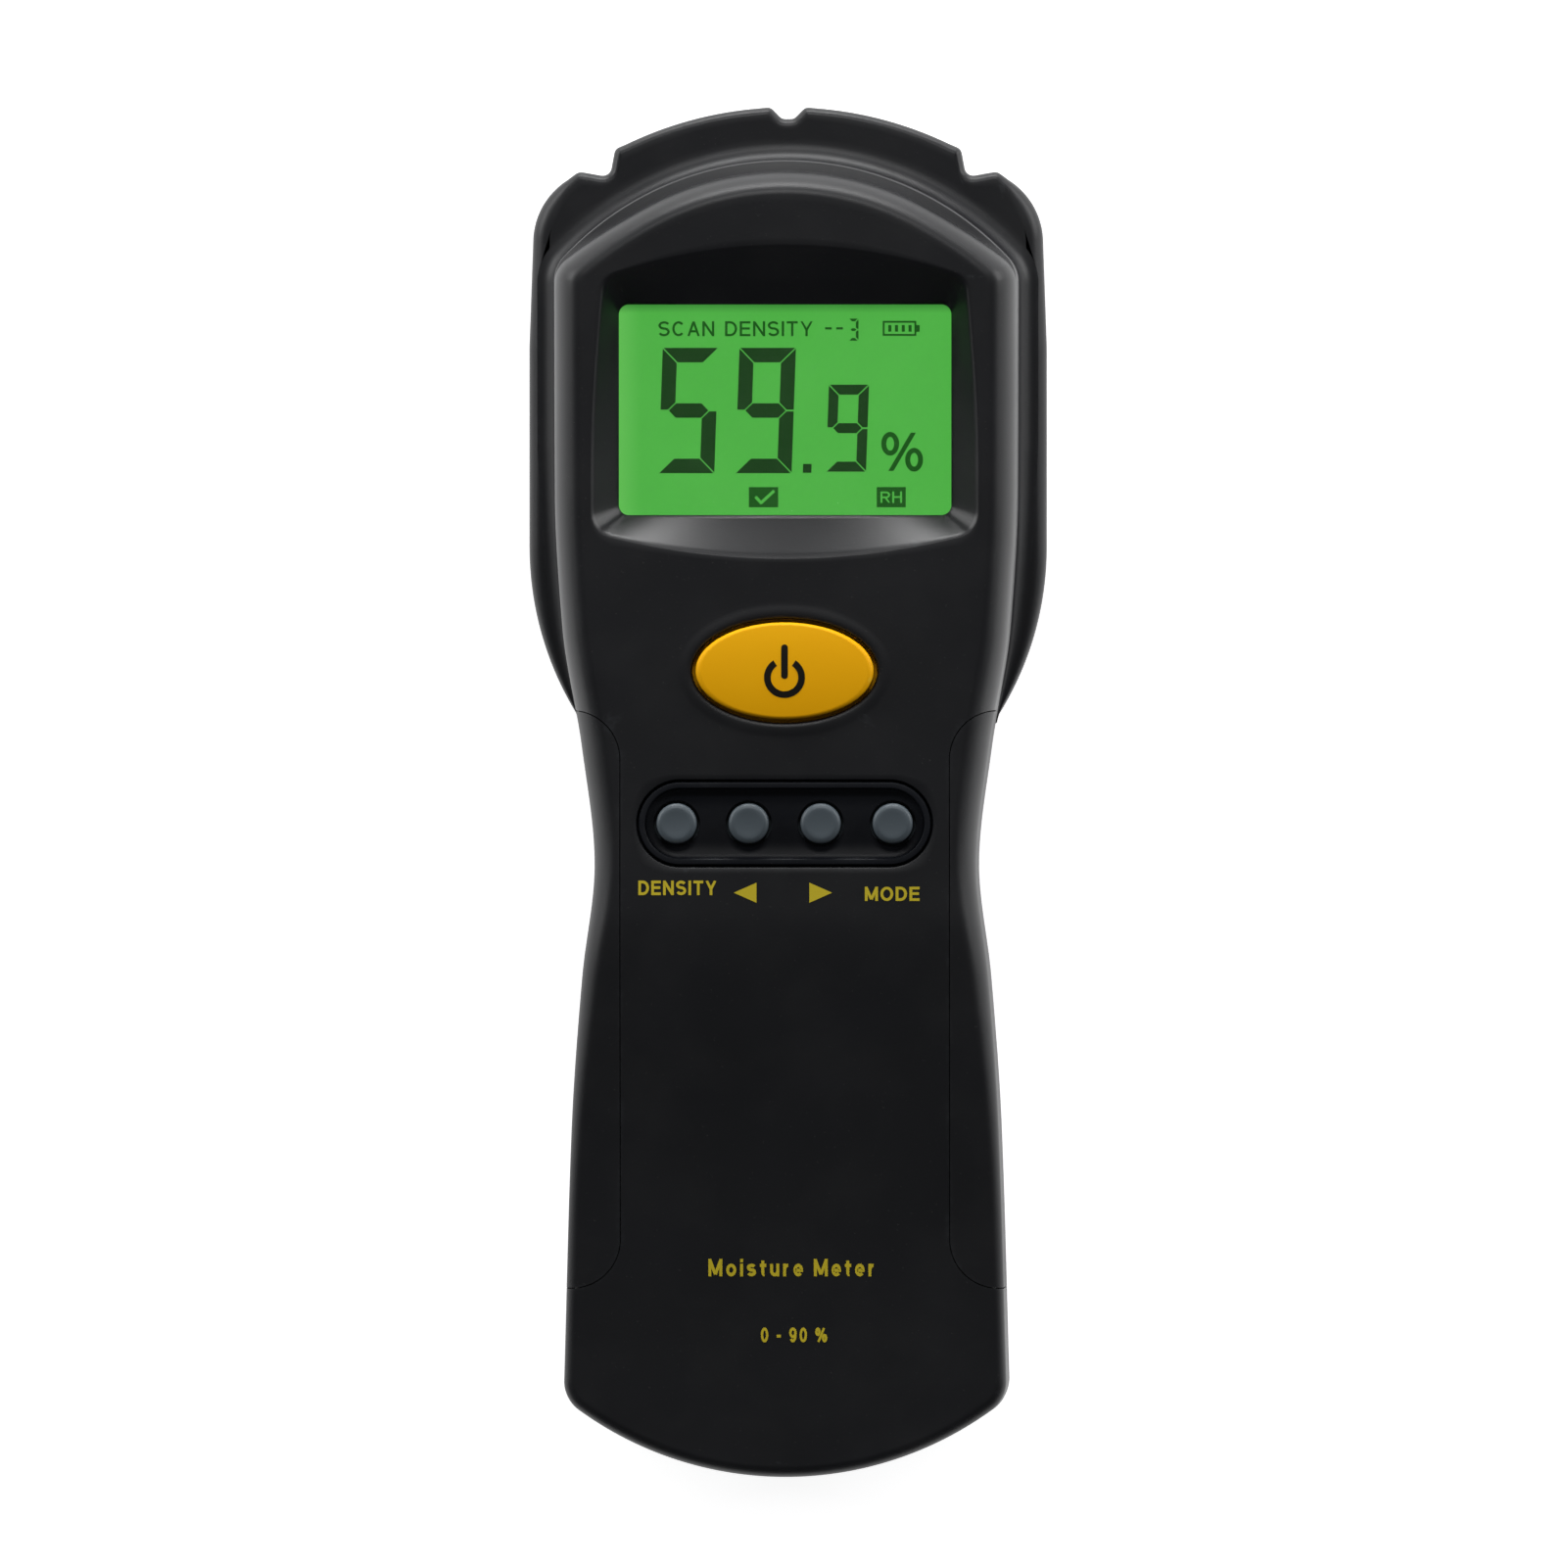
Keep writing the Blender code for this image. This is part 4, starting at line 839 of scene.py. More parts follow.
def screen_signs():
    """Small signs: a level numeral after two dashes, a battery with its bars, two dark boxes and a slash."""
    level_sign = [*digit(8.5, 60.5, 1.35, 2.95, 0.36, THREE),
                  *[bar(x, 62.0, x + 0.9, 62.3) for x in (5.35, 6.85)]]
    battery = [*frame_bars(13.1, 61.15, 17.6, 63.15, 0.26), bar(17.6, 61.7, 18.05, 62.6),
               *[bar(x, 61.7, x + 0.42, 62.6) for x in (13.85, 14.75, 15.65, 16.55)]]
    boxes = [bar(-4.9, 38.15, -0.95, 40.85), bar(12.3, 38.15, 16.2, 40.85)]
    slash = np.array(((13.85, 43.0), (14.55, 43.0), (17.55, 48.15), (16.85, 48.15)))
    return tiles("screen_signs", [*level_sign, *battery, *boxes, slash], *INK)


def screen_marks():
    """The pale tick and letters that stand in the two dark boxes."""
    tick = [stroke(((-4.0, 39.55), (-3.15, 38.65)), 0.4), stroke(((-3.3, 38.7), (-1.5, 40.35)), 0.4)]
    return [tiles("screen_tick", tick, *INK_MARK),
            lettering("screen_word_rh", "RH", 14.25, 39.5, 2.9, 1.5, *INK_MARK, weight=0.15)]


def screen_words():
    """The words over the reading and the two rings of the percent sign after it."""
    words = [lettering("screen_word_scan", "SCAN", -13.3, 62.1, 7.5, 2.0, *INK, weight=0.15),
             lettering("screen_word_density", "DENSITY", -2.2, 62.1, 11.8, 2.0, *INK, weight=0.15)]
    t = np.linspace(0, 2 * math.pi, 41)
    around = np.column_stack((np.cos(t), np.sin(t)))
    for name, *middle in (("upper", 14.1, 46.65), ("lower", 17.3, 44.5)):
        outer, inner = around * (1.2, 1.6) + middle, around * (0.52, 0.92) + middle
        words.append(ribbon(f"screen_percent_{name}", outer, inner, *INK))
    return words


# ---------------------------------------------------------------- signs on the keys and the face

def ribbon(name, one, other, low, high, surface=None):
    """A thin strip between two runs of plan points, as a piece of its own."""
    return piece(name, strip(one, other, low, high, surface))


PRINT, KEY_PRINT = (-0.03, 0.05), (-0.03, 0.03)  # lower and upper side of printed signs, from the surface


def power_sign():
    """Ring with a gap at its top and a bar standing in the gap, printed on the oval key."""
    cy, r, wide, gap = 15.2, 2.75, 0.9, 33
    low, high, half = 15.0, 19.65, wide / 2
    turn = arc(0, cy, 1.0, 90 + gap, 450 - gap, 70) - (0, cy)
    outer, inner = turn * r + (0, cy), turn * (r - wide) + (0, cy)
    y = low + (high - low) * (1 - np.cos(np.linspace(0, math.pi, 31))) / 2
    past = np.clip(half - np.minimum(y - low, high - y), 0, half) / half
    x = half * np.clip(1 - past ** 2, 0, 1) ** 0.5
    left, right = np.column_stack((-x, y)), np.column_stack((x, y))
    return [ribbon("power_ring_sign", outer, inner, *KEY_PRINT, power_height),
            ribbon("power_bar_sign", left, right, *KEY_PRINT, power_height)]


def on_face(points):
    """Height of the front face over plan points."""
    return face_height(points[:, 1])


def arrow(x, y, width, height, side):
    """A triangle that points to one side."""
    half, reach = height / 2, side * width / 2
    return np.array(((x - reach, y - half), (x + reach, y), (x - reach, y + half)))


def face_print():
    """Labels under the keys and the title at the tail."""
    def words(name, text, *place, spaced=0.16):
        return lettering("print_" + name, text, *place, *PRINT, surface=on_face, spaced=spaced)

    def pointer(name, x, side):
        return tiles(f"print_{name}_arrow", [arrow(x, -13.7, 3.05, 2.7, side)], *PRINT, surface=on_face)

    return [
        words("density", "DENSITY", -14.4, -13.05, 10.5, 1.95),
        words("mode", "MODE", 14.45, -13.85, 7.35, 1.9),
        pointer("left", -5.3, -1),
        pointer("right", 4.85, 1),
        words("title", "Moisture Meter", 0.9, -64.1, 22.4, 2.35, spaced=0.24),
        words("range", "0 - 90 %", 1.2, -73.15, 8.9, 2.0, spaced=0.24),
    ]


# ---------------------------------------------------------------- back

HINGE_Y, THUMB_Y = -21.85, -68.5


def battery_door():
    """Door plate with a thumb hollow, two hooked tabs at its hinge end and a latch tongue at its tail."""
    door = plate("door_panel", seat_loop, 0.0, PLATE_T, 0.35)
    hollow = [(0, -2), (8.0, -2), (8.0, 0.0), (7.6, 0.12), (7.0, 0.28), (6.0, 0.45), (4.0, 0.58), (0, 0.62)]
    carve(door, turned("thumb", hollow, 0, THUMB_Y, steps=72, squash=0.44))
    forms = []
    for x0, x1 in ((-13.2, -7.8), (7.8, 13.2)):
        forms += [prism("riser", box_loop(x0, x1, HINGE_Y - 1.5, HINGE_Y - 0.3), 1.0, 3.2),
                  prism("tab", round_loop(x0, x1, HINGE_Y - 1.4, HINGE_Y + 1.5, 0.4, 4), 2.3, 3.2)]
    forms += [prism("tongue", box_loop(-5, 5, -75.1, -74.3), 1.0, 5.6),
              prism("hook", box_loop(-5, 5, -75.35, -74.5), 3.4, 4.4)]
    return carve(door, *forms, operation="UNION")


def door_ribs():
    """Low ribs across the thumb hollow, each a round bar with its ends tapered, half of it in the door."""
    t = np.linspace(0, 1, 13)[None, :, None]
    turn = np.linspace(0, 2 * math.pi, 13)[:, None, None]
    grids = []
    for k in (-1, 0, 1):
        y, half = THUMB_Y + 1.35 * k, 4.6 - 0.9 * abs(k)
        x = -half + 2 * half * t
        r = 0.28 * np.sqrt(np.clip(1 - ((2 * t - 1)) ** 6, 0, 1))
        grids.append(np.concatenate((x + 0 * turn, y + r * np.cos(turn), 0.58 + r * np.sin(turn)), axis=-1))
    return piece("door_thumb_ribs", grids)


def sensor_pad():
    """Smooth sensing plate under the head."""
    return plate("sensing_plate", sole_loop, 0.0, PLATE_T, 0.5)


def case_screw(name, x, y):
    """Pan-head screw let into its well from below, with a cross recess in its head and a thread of ridges."""
    head = [(0, 2.42), (0.9, 2.44), (1.7, 2.56), (2.3, 2.85), (2.55, 3.2), (2.6, 3.6), (2.6, 4.2),
            (1.15, 4.25)]
    thread = [(1.15 + 0.17 * (k % 2), 4.25 + 0.35 * k) for k in range(1, 40)]
    screw = turned(name, head + thread + [(0.0, 18.4)], x, y, steps=36)
    cross = (box_loop(-1.3, 1.3, -0.24, 0.24), box_loop(-0.24, 0.24, -1.3, 1.3))
    return carve(screw, *[prism("cross", loop + (x, y), 1.0, 3.4) for loop in cross])


# The three cells: x, and the end that the nub is at
CELLS = {"left": (-11.0, 1), "middle": (0.0, -1), "right": (11.0, 1)}


def cell_forms(name, x, low, high, nub):
    """A battery cell along Y: a steel can with a raised nub at one end, and a shrunk sleeve round it."""
    r, lift = 5.15, 8.0
    steps = np.linspace(0, 2 * math.pi, 49)[None]

    def round_y(label, profile):
        profile = np.asarray(profile, float)
        radius, y = profile[:, :1], profile[:, 1:]
        y = y if nub > 0 else low + high - y
        around = (x + radius * np.cos(steps), y + 0 * steps, lift + radius * np.sin(steps))
        return piece(label, [np.stack(around, axis=-1)])

    can = [(0, low + 0.25), (3.6, low + 0.25), (3.75, low + 0.1), (4.7, low + 0.1), (4.95, low + 0.3),
           (4.95, high - 1.3), (4.7, high - 1.1), (2.3, high - 1.1), (2.2, high - 1.0), (1.9, high - 0.12),
           (1.7, high), (0, high)]
    sleeve = [(4.3, low + 0.06), (4.8, low), (5.05, low + 0.1), (r, low + 0.4), (r, high - 1.5),
              (5.05, high - 1.15), (4.8, high - 1.05), (4.2, high - 1.08), (4.2, high - 1.25),
              (4.95, high - 1.4), (4.95, low + 0.45), (4.3, low + 0.3), (4.3, low + 0.06)]
    return round_y(name + "_can", can), round_y(name + "_sleeve", sleeve)


# ---------------------------------------------------------------- materials

def group(name, inputs, outputs):
    """An empty shader group with inputs (label, kind, value) and outputs (label, kind), and its two ends."""
    tree = bpy.data.node_groups.new(name, "ShaderNodeTree")
    for label, kind, value in inputs:
        socket = tree.interface.new_socket(label, in_out="INPUT", socket_type="NodeSocket" + kind)
        if value is not None:
            socket.default_value = value
    for label, kind in outputs:
        tree.interface.new_socket(label, in_out="OUTPUT", socket_type="NodeSocket" + kind)
    return tree, tree.nodes.new("NodeGroupInput"), tree.nodes.new("NodeGroupOutput")


def node(tree, kind, links=(), **values):
    """Adds a shader node, sets its properties and links its numbered or named inputs."""
    made = tree.nodes.new("ShaderNode" + kind)
    for key, value in values.items():
        setattr(made, key, value)
    for key, value in dict(links).items():
        if isinstance(value, bpy.types.NodeSocket):
            tree.links.new(value, made.inputs[key])
        else:
            made.inputs[key].default_value = value
    return made


def noise(tree, vector, scale, detail=2.0, rough=0.5):
    """Cloudy noise, 0 to 1."""
    links = {"Vector": vector, "Scale": scale, "Detail": detail, "Roughness": rough}
    return node(tree, "TexNoise", links).outputs[0]


def ranged(tree, value, low, high, to_low=0.0, to_high=1.0):
    """A value carried from one range to another, and held at its ends."""
    return node(tree, "MapRange", {0: value, 1: low, 2: high, 3: to_low, 4: to_high}).outputs[0]


def product(tree, a, b):
    """One value times another."""
    return node(tree, "Math", {0: a, 1: b}, operation="MULTIPLY").outputs[0]


def blend(tree, share, first, second):
    """One colour mixed into another."""
    return node(tree, "Mix", {0: share, 6: first, 7: second}, data_type="RGBA").outputs[2]


def mould_grain_group():
    """Fine spark-eroded texture: pebbles softened by finer noise, with a slow drift of the roughness."""
    tree, given, out = group("mould_grain", [("Vector", "Vector", None), ("Scale", "Float", 4000.0),
                                             ("Drift", "Float", 0.06), ("Roughness", "Float", 0.5)],
                             [("Height", "Float"), ("Roughness", "Float")])
    cells = node(tree, "TexVoronoi", {"Vector": given.outputs["Vector"], "Scale": given.outputs["Scale"]},
                 feature="SMOOTH_F1").outputs["Distance"]
    fine = noise(tree, given.outputs["Vector"], given.outputs["Scale"], 3.0)
    tree.links.new(node(tree, "Math", {0: cells, 1: fine}, operation="ADD").outputs[0], out.inputs["Height"])
    slow = noise(tree, given.outputs["Vector"], 60.0, 3.0)
    shift = node(tree, "Math", {0: ranged(tree, slow, 0.3, 0.7, -1.0, 1.0), 1: given.outputs["Drift"],
                                2: given.outputs["Roughness"]}, operation="MULTIPLY_ADD").outputs[0]
    tree.links.new(shift, out.inputs["Roughness"])
    return tree


def edge_wear_and_highlight_group():
    """Mask of the convex edges, broken up by noise: scuffed edges, and on the yellow key a painted highlight
    on its rim.
    """
    tree, given, out = group("edge_wear_and_highlight", [("Vector", "Vector", None), ("Amount", "Float", 0.5)],
                             [("Mask", "Float")])
    edge = ranged(tree, node(tree, "NewGeometry").outputs["Pointiness"], 0.515, 0.57)
    broken = ranged(tree, noise(tree, given.outputs["Vector"], 900.0, 4.0, 0.6), 0.35, 0.7)
    tree.links.new(product(tree, product(tree, edge, broken), given.outputs["Amount"]), out.inputs["Mask"])
    return tree


def dust_group():
    """Mask of fine lint on faces that look up: small specks over a faint film."""
    tree, given, out = group("fine_dust", [("Vector", "Vector", None), ("Amount", "Float", 0.3)],
                             [("Mask", "Float")])
    normal = node(tree, "SeparateXYZ", {0: node(tree, "NewGeometry").outputs["Normal"]})
    facing = ranged(tree, normal.outputs[2], 0.2, 0.95)
    specks = ranged(tree, noise(tree, given.outputs["Vector"], 2600.0, 2.0), 0.70, 0.78)
    film = ranged(tree, noise(tree, given.outputs["Vector"], 90.0, 4.0), 0.45, 0.8, 0.0, 0.25)
    both = node(tree, "Math", {0: specks, 1: film}, operation="MAXIMUM").outputs[0]
    tree.links.new(product(tree, product(tree, facing, both), given.outputs["Amount"]), out.inputs["Mask"])
    return tree


def mottle_group():
    """Slow mix of two near shades."""
    tree, given, out = group("mottle", [("Vector", "Vector", None), ("Scale", "Float", 80.0),
                                        ("Dark", "Color", None), ("Light", "Color", None)],
                             [("Color", "Color")])
    share = ranged(tree, noise(tree, given.outputs["Vector"], given.outputs["Scale"], 4.0), 0.3, 0.7)
    tree.links.new(blend(tree, share, given.outputs["Dark"], given.outputs["Light"]), out.inputs["Color"])
    return tree


GRAIN, WEAR_AND_HIGHLIGHT, DUST, MOTTLE = mould_grain_group(), edge_wear_and_highlight_group(), dust_group(), mottle_group()


def placed(tree, source, **values):
    """Puts a group into a tree, with its inputs linked or set."""
    made = tree.nodes.new("ShaderNodeGroup")
    made.node_tree = source
    for key, value in values.items():
        if isinstance(value, bpy.types.NodeSocket):
            tree.links.new(value, made.inputs[key])
        else:
            made.inputs[key].default_value = value
    return made


def rgb(colour):
    """Shown colour, 0 to 255 a channel, as the shader's linear values."""
    c = np.asarray(colour, float) / 255
    return (*np.where(c <= 0.04045, c / 12.92, ((c + 0.055) / 1.055) ** 2.4).tolist(), 1.0)


LINT = (170, 168, 162)


def fresh(name):
    """A new material with its tree, its shader and the object's own coordinates."""
    material = bpy.data.materials.new(name)
    material.use_nodes = True
    tree = material.node_tree
    return material, tree, tree.nodes["Principled BSDF"], node(tree, "TexCoord").outputs["Object"]


def recess_mask(tree, where):
    """1 on the walls of the display recess and 0 elsewhere; each limit is eased over a short way."""
    split = node(tree, "SeparateXYZ", {0: where})
    across = node(tree, "Math", {0: split.outputs[0]}, operation="ABSOLUTE").outputs[0]
    mask = ranged(tree, across, 25.9 * MM, 26.1 * MM, 1.0, 0.0)
    for axis, low, high, to_low, to_high in ((2, 33.7, 33.9, 1.0, 0.0), (1, 68.0, 69.0, 1.0, 0.0),
                                             (1, 29.0, 30.0, 0.0, 1.0)):
        mask = product(tree, mask, ranged(tree, split.outputs[axis], low * MM, high * MM, to_low, to_high))
    return mask


def lit(material, colour, strength=1.0):
    """Gives a finish an even light of its own."""
    shader = material.node_tree.nodes["Principled BSDF"]
    shader.inputs["Emission Color"].default_value = rgb(colour)
    shader.inputs["Emission Strength"].default_value = strength
    return material


def finish(name, dark, light, roughness, grain=4000.0, bump=0.00001, strength=0.5, drift=0.02,
           shade_scale=80.0, wear_and_highlight=0.0, worn_and_highlight_tint=(120, 120, 120), dust=0.0, polished=None, **sockets):
    """A moulded, printed or metal finish: two near shades, lightened edges (scuffs, and on the yellow key a
    painted highlight), dust, a grained bump, drifting gloss.

    A polished one has its own roughness on the walls of the display recess.
    """
    material, tree, shader, where = fresh(name)
    shades = placed(tree, MOTTLE, Vector=where, Scale=shade_scale, Dark=rgb(dark), Light=rgb(light))
    colour = shades.outputs[0]
    # Edge tint: scuffs, and on the yellow key a painted highlight on the rim; dust lightens faces that look
    # up.
    for mask, amount, tint in ((WEAR_AND_HIGHLIGHT, wear_and_highlight, worn_and_highlight_tint), (DUST, dust, LINT)):
        if amount:
            share = placed(tree, mask, Vector=where, Amount=amount).outputs[0]
            colour = blend(tree, share, colour, rgb(tint))
    tree.links.new(colour, shader.inputs["Base Color"])
    texture = placed(tree, GRAIN, Vector=where, Scale=grain, Drift=drift, Roughness=roughness)
    gloss = texture.outputs["Roughness"]
    if polished:
        gloss = node(tree, "Mix", {0: recess_mask(tree, where), 2: gloss, 3: polished},
                     data_type="FLOAT").outputs[0]
    tree.links.new(gloss, shader.inputs["Roughness"])
    relief = node(tree, "Bump", {"Strength": strength, "Distance": bump, "Height": texture.outputs["Height"]})
    tree.links.new(relief.outputs[0], shader.inputs["Normal"])
    for key, value in sockets.items():
        shader.inputs[key.replace("_", " ")].default_value = value
    return material


def screen_finish():
    """Lit screen: green that pales to one side and sinks into shade under the top edge of its recess."""
    material, tree, shader, where = fresh("lit_screen_green")
    split = node(tree, "SeparateXYZ", {0: where})
    side = ranged(tree, split.outputs[0], -22.4 * MM, -19.5 * MM, 1.0, 0.0)
    top = ranged(tree, split.outputs[1], 64.2 * MM, 65.4 * MM, 0.0, 0.7)
    cloud = ranged(tree, noise(tree, where, 120.0, 3.0), 0.3, 0.7, 0.0, 0.10)
    glow = blend(tree, side, rgb((76, 178, 66)), rgb((98, 192, 84)))
    glow = blend(tree, top, glow, rgb((40, 110, 40)))
    glow = blend(tree, cloud, glow, rgb((96, 190, 84)))
    tree.links.new(glow, shader.inputs["Emission Color"])
    shader.inputs["Emission Strength"].default_value = 1.0
    shader.inputs["Base Color"].default_value = (0.002, 0.006, 0.002, 1)
    fine = placed(tree, GRAIN, Vector=where, Scale=2500.0, Drift=0.05, Roughness=0.35)
    tree.links.new(fine.outputs["Roughness"], shader.inputs["Roughness"])
    return material


def ink_finish(name, colour):
    """Dark liquid-crystal bars with the light behind them just showing through."""
    return lit(finish(name, (8, 20, 6), (12, 26, 9), 0.4, grain=3000.0, strength=0.1), colour)


def clear_finish():
    """Clear moulded window, barely hazed."""
    return finish("window_acrylic", (250, 252, 250), (255, 255, 255), 0.03, grain=400.0, bump=0.0000006,
                  strength=0.15, drift=0.01, Transmission_Weight=1.0, IOR=1.47)


# Shown shades, dark and light, then roughness
FINISHES = {
    "housing_plastic": finish("moulded_black_plastic", (9, 10, 14), (12, 13, 18), 0.43, grain=3600.0,
                              strength=0.3, wear_and_highlight=0.2, worn_and_highlight_tint=(70, 74, 78), dust=0.05, polished=0.33,
                              Specular_IOR_Level=0.45),
    "grip_rubber": finish("soft_black_grip", (9, 10, 14), (12, 13, 18), 0.48, grain=2600.0, strength=0.4,
                          wear_and_highlight=0.15, worn_and_highlight_tint=(70, 74, 78), dust=0.05, Specular_IOR_Level=0.4),
    "bezel_gloss": finish("gloss_black_insert", (18, 20, 25), (22, 24, 29), 0.42, grain=4200.0, strength=0.12,
                          wear_and_highlight=0.1, worn_and_highlight_tint=(60, 62, 65), dust=0.05, Specular_IOR_Level=0.15),
    # The yellow key's pale edge tint is a painted highlight on its rim.
    "power_key_yellow": finish("yellow_key_plastic", (254, 182, 0), (255, 186, 0), 0.5, grain=3800.0,
                               strength=0.3, wear_and_highlight=0.5, worn_and_highlight_tint=(255, 210, 60), Specular_IOR_Level=0.15),
    "round_key_grey": finish("grey_key_plastic", (70, 79, 85), (77, 87, 94), 0.45, grain=3800.0, strength=0.3,
                             wear_and_highlight=0.5, worn_and_highlight_tint=(130, 140, 146), dust=0.05),
    "print_olive": finish("olive_print", (200, 180, 18), (212, 190, 30), 0.6, grain=5000.0, strength=0.3),
    "print_black": finish("black_print", (12, 9, 3), (17, 14, 5), 0.6, grain=5000.0, strength=0.3,
                          Specular_IOR_Level=0.2),
    "sole_plastic": finish("smooth_dark_plate", (30, 31, 33), (38, 39, 41), 0.3, grain=3000.0, strength=0.15,
                           dust=0.1),
    "frame_white": finish("white_frame_plastic", (222, 222, 216), (236, 236, 231), 0.5, wear_and_highlight=0.2,
                          worn_and_highlight_tint=(245, 245, 242)),
    "guide_acrylic": finish("milky_guide", (206, 226, 204), (226, 240, 222), 0.3, strength=0.1,
                            Transmission_Weight=0.3),
    "strip_pink": finish("striped_contact_strip", (196, 116, 120), (150, 74, 80), 0.6, shade_scale=2400.0),
    "board_green": finish("green_circuit_board", (14, 74, 38), (26, 96, 50), 0.3, shade_scale=900.0,
                          strength=0.4),
    "board_white": finish("white_led_board", (216, 216, 208), (232, 232, 226), 0.4, shade_scale=900.0),
    "chip_black": finish("chip_epoxy", (24, 24, 25), (34, 34, 35), 0.55, grain=9000.0, wear_and_highlight=0.3),
    "plunger_red": finish("red_plunger", (160, 30, 26), (182, 42, 34), 0.4, wear_and_highlight=0.3, worn_and_highlight_tint=(210, 90, 80)),
    "contact_metal": finish("nickel_contact", (176, 176, 170), (200, 200, 194), 0.24, shade_scale=500.0,
                            drift=0.1, wear_and_highlight=0.4, worn_and_highlight_tint=(225, 225, 220), Metallic=1.0),
    "screw_metal": finish("blackened_screw", (60, 61, 64), (84, 85, 88), 0.34, shade_scale=600.0, drift=0.1,
                          wear_and_highlight=0.6, worn_and_highlight_tint=(170, 170, 172), Metallic=1.0),
    "cell_sleeve": finish("cell_sleeve_film", (38, 66, 104), (46, 78, 120), 0.22, strength=0.1, wear_and_highlight=0.2,
                          worn_and_highlight_tint=(120, 140, 170)),
    "foam_grey": finish("grey_foam", (60, 60, 62), (92, 92, 94), 0.95, grain=1500.0, bump=0.00012,
                        strength=0.9, shade_scale=1500.0),
    "lead_black": finish("black_lead_jacket", (20, 20, 21), (28, 28, 29), 0.45, strength=0.2),
    "lead_red": finish("red_lead_jacket", (150, 20, 18), (172, 30, 26), 0.45, strength=0.2),
}
FINISHES["screen_green"] = screen_finish()
FINISHES["screen_ink"] = ink_finish("screen_ink", (6, 54, 3))
FINISHES["screen_small_ink"] = ink_finish("screen_small_ink", (8, 80, 4))
FINISHES["window_clear"] = clear_finish()

# The CAD bodies that keep their own shape, each with its finish
CAD_FINISH = {
    "lcd_frame": "frame_white", "backlight_guide": "guide_acrylic", "backlight_led_board": "board_white",
    "upper_contact_strip": "strip_pink", "lower_contact_strip": "strip_pink", "main_board": "board_green",
    "processor_chip": "chip_black", "amplifier_chip": "chip_black", "clock_crystal": "contact_metal",
    "smoothing_capacitor": "contact_metal", "sensor_board": "board_green", "sensor_foam": "foam_grey",
    "sensor_lead": "lead_black", "positive_terminal": "contact_metal", "negative_terminal": "contact_metal",
    "head_bridge_contact": "contact_metal", "tail_bridge_contact": "contact_metal",
    "red_battery_lead": "lead_red", "black_battery_lead": "lead_black",
    **{f"battery_spring_{k}": "contact_metal" for k in CELLS},
    **{f"board_screw_{k}": "screw_metal" for k in range(1, 5)},
    **{f"{k}_switch": "chip_black" for k in ("power", *KEY_NAMES)},
    **{f"{k}_switch_plunger": "plunger_red" for k in ("power", *KEY_NAMES)},
}


def clad(obj, key):
    """Gives an object one finish on every slot."""
    slots = max(len(obj.data.materials), 1)
    obj.data.materials.clear()
    for _ in range(slots):
        obj.data.materials.append(FINISHES[key])


def add(obj, body, key, slot, *nodes):
    """Clads a finished piece, rides it on a body and hides the CAD nodes it stands for; the slot is not used.
    """
    clad(obj, key)
    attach(obj, body)
    if nodes:
        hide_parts(*nodes)
    return obj


# ---------------------------------------------------------------- the meter

def build():
    """Makes every piece and clads the CAD bodies that keep their own shape."""
    for obj, key, cad_node in (
            (front_housing(), "housing_plastic", "front_housing"),
            (rear_housing(), "housing_plastic", "rear_housing"),
            (side_grip(-1, "left_grip_panel"), "grip_rubber", "left_side_grip"),
            (side_grip(1, "right_grip_panel"), "grip_rubber", "right_side_grip"),
            (key_bezel(), "bezel_gloss", "key_bezel"),
            (screen_plate("lcd_screen", 25, 17, 0.8, 25.8, SCREEN_TOP, 0.08), "screen_green", "lcd_glass"),
            (screen_plate("clear_window", 24.2, 16, 1.5, 28.1, 29.3, 0.12), "window_clear", "display_window")):
        add(obj, "housing", key, key, cad_node)
    add(numerals(), "housing", "screen_ink", "screen_green")
    add(screen_signs(), "housing", "screen_small_ink", "screen_green")
    for obj in screen_marks():
        add(obj, "housing", "screen_green", "screen_green")
    for obj in screen_words():
        add(obj, "housing", "screen_small_ink", "screen_green")
    add(power_key(), "power_key", "power_key_yellow", "power_key_yellow", "power_key")
    for obj in power_sign():
        add(obj, "power_key", "print_black", "power_key_yellow")
    for name, x in zip(KEY_NAMES, KEY_X):
        add(round_key(name + "_key_cap", x), name + "_key", "round_key_grey", "round_key_grey", name + "_key")
    for obj in face_print():
        add(obj, "housing", "print_olive", "housing_plastic")
    add(battery_door(), "battery_door", "housing_plastic", "housing_plastic", "battery_door")
    add(door_ribs(), "battery_door", "housing_plastic", "housing_plastic")
    add(sensor_pad(), "housing", "sole_plastic", "sole_plastic", "sensor_pad")
    for k, place in enumerate(CASE_SCREWS, 1):
        add(case_screw(f"housing_screw_{k}", *place), "housing", "screw_metal", "contact_metal",
            f"case_screw_{k}")
    for name, (x, nub) in CELLS.items():
        low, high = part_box(f"battery_cell_{name}")
        can, sleeve = cell_forms(f"{name}_cell", x, low[1] / MM, high[1] / MM, nub)
        add(can, "housing", "contact_metal", "contact_metal", f"battery_cell_{name}")
        add(sleeve, "housing", "cell_sleeve", "cell_sleeve")
    for name, key in CAD_FINISH.items():
        clad(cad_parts[name], key)


build()


# ---------------------------------------------------------------- room, lights and camera

FLOOR_GLOW = 0.88              # the floor is a lit table, so that nothing casts a dark shadow


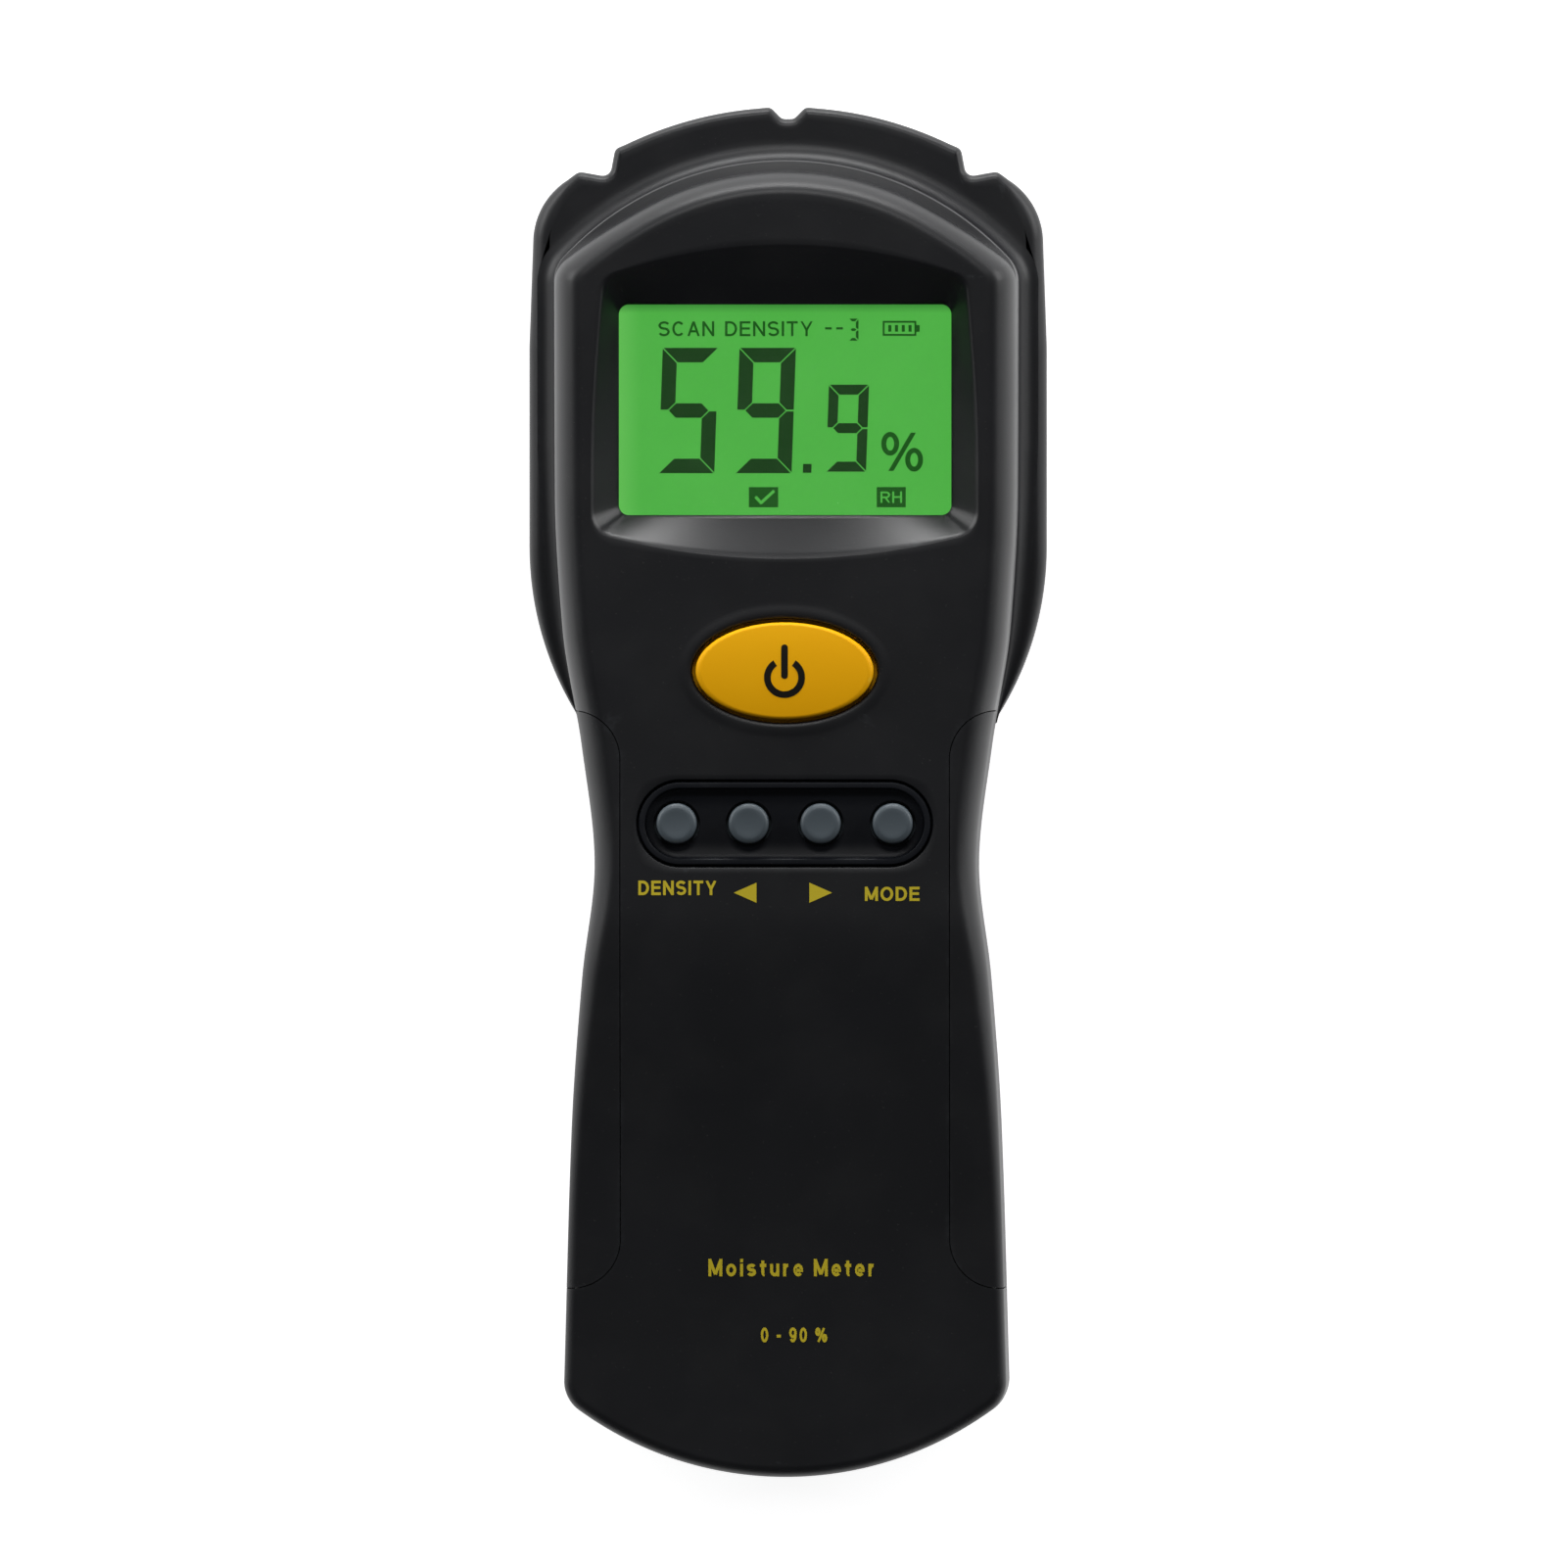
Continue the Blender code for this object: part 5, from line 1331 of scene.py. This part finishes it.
def floor():
    """A wide pale card just under the meter."""
    x, y = np.meshgrid(*[np.linspace(-3.0, 3.0, 13)] * 2, indexing="ij")
    card = piece("pale_floor", [np.stack((x, y, np.full_like(x, -0.0002)), axis=-1) / MM])
    paper = finish("pale_floor_card", (228, 228, 228), (232, 232, 232), 0.9, grain=300.0, strength=0.0)
    card.data.materials.append(lit(paper, (255, 255, 255), FLOOR_GLOW))
    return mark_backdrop(card)


def soft_light(name, place, aim, size, power):
    """A softbox at a place, turned to a point; sizes and places in metres."""
    data = bpy.data.lights.new(name, "AREA")
    data.shape, data.size, data.size_y = "RECTANGLE", *size
    data.energy = power
    obj = bpy.data.objects.new(name, data)
    obj.location = place
    obj.rotation_euler = (Vector(aim) - Vector(place)).to_track_quat("-Z", "Y").to_euler()
    bpy.context.scene.collection.objects.link(obj)


floor()
MIDDLE = (0, 0.05, 0.02)
soft_light("left_softbox", (-1.2, 0.65, 0.38), MIDDLE, (0.9, 0.6), 9.5)
soft_light("right_softbox", (1.2, 0.65, 0.38), MIDDLE, (0.9, 0.6), 9.5)
soft_light("head_softbox", (0.0, 1.3, 0.15), MIDDLE, (1.1, 0.26), 14)
soft_light("high_softbox", (0.0, 0.95, 1.35), (0, 0, 0.02), (0.7, 0.3), 7)

world = bpy.data.worlds.new("soft_room")
bpy.context.scene.world = world
world.use_nodes = True
room = world.node_tree.nodes["Background"]
room.inputs[0].default_value = (0.95, 0.97, 1.0, 1)
room.inputs[1].default_value = 0.10
bpy.context.scene.view_settings.view_transform = "Standard"

# A distant camera straight over the face, leaning a little to the right; in metres
FRAME_WIDTH = 0.2113
DISTANCE = 4.0
TILT = math.radians(0.9)
TARGET = Vector((-0.0003, 0.0009, 0.02))
camera_data = bpy.data.cameras.new("view_camera")
camera_data.sensor_width = 36.0
camera_data.lens = camera_data.sensor_width * DISTANCE / FRAME_WIDTH
camera_data.clip_start, camera_data.clip_end = 0.05, 20
camera = bpy.data.objects.new("view_camera", camera_data)
camera.location = TARGET + DISTANCE * Vector((math.sin(TILT), 0, math.cos(TILT)))
camera.rotation_euler = (0, TILT, 0)
bpy.context.scene.collection.objects.link(camera)
bpy.context.scene.camera = camera
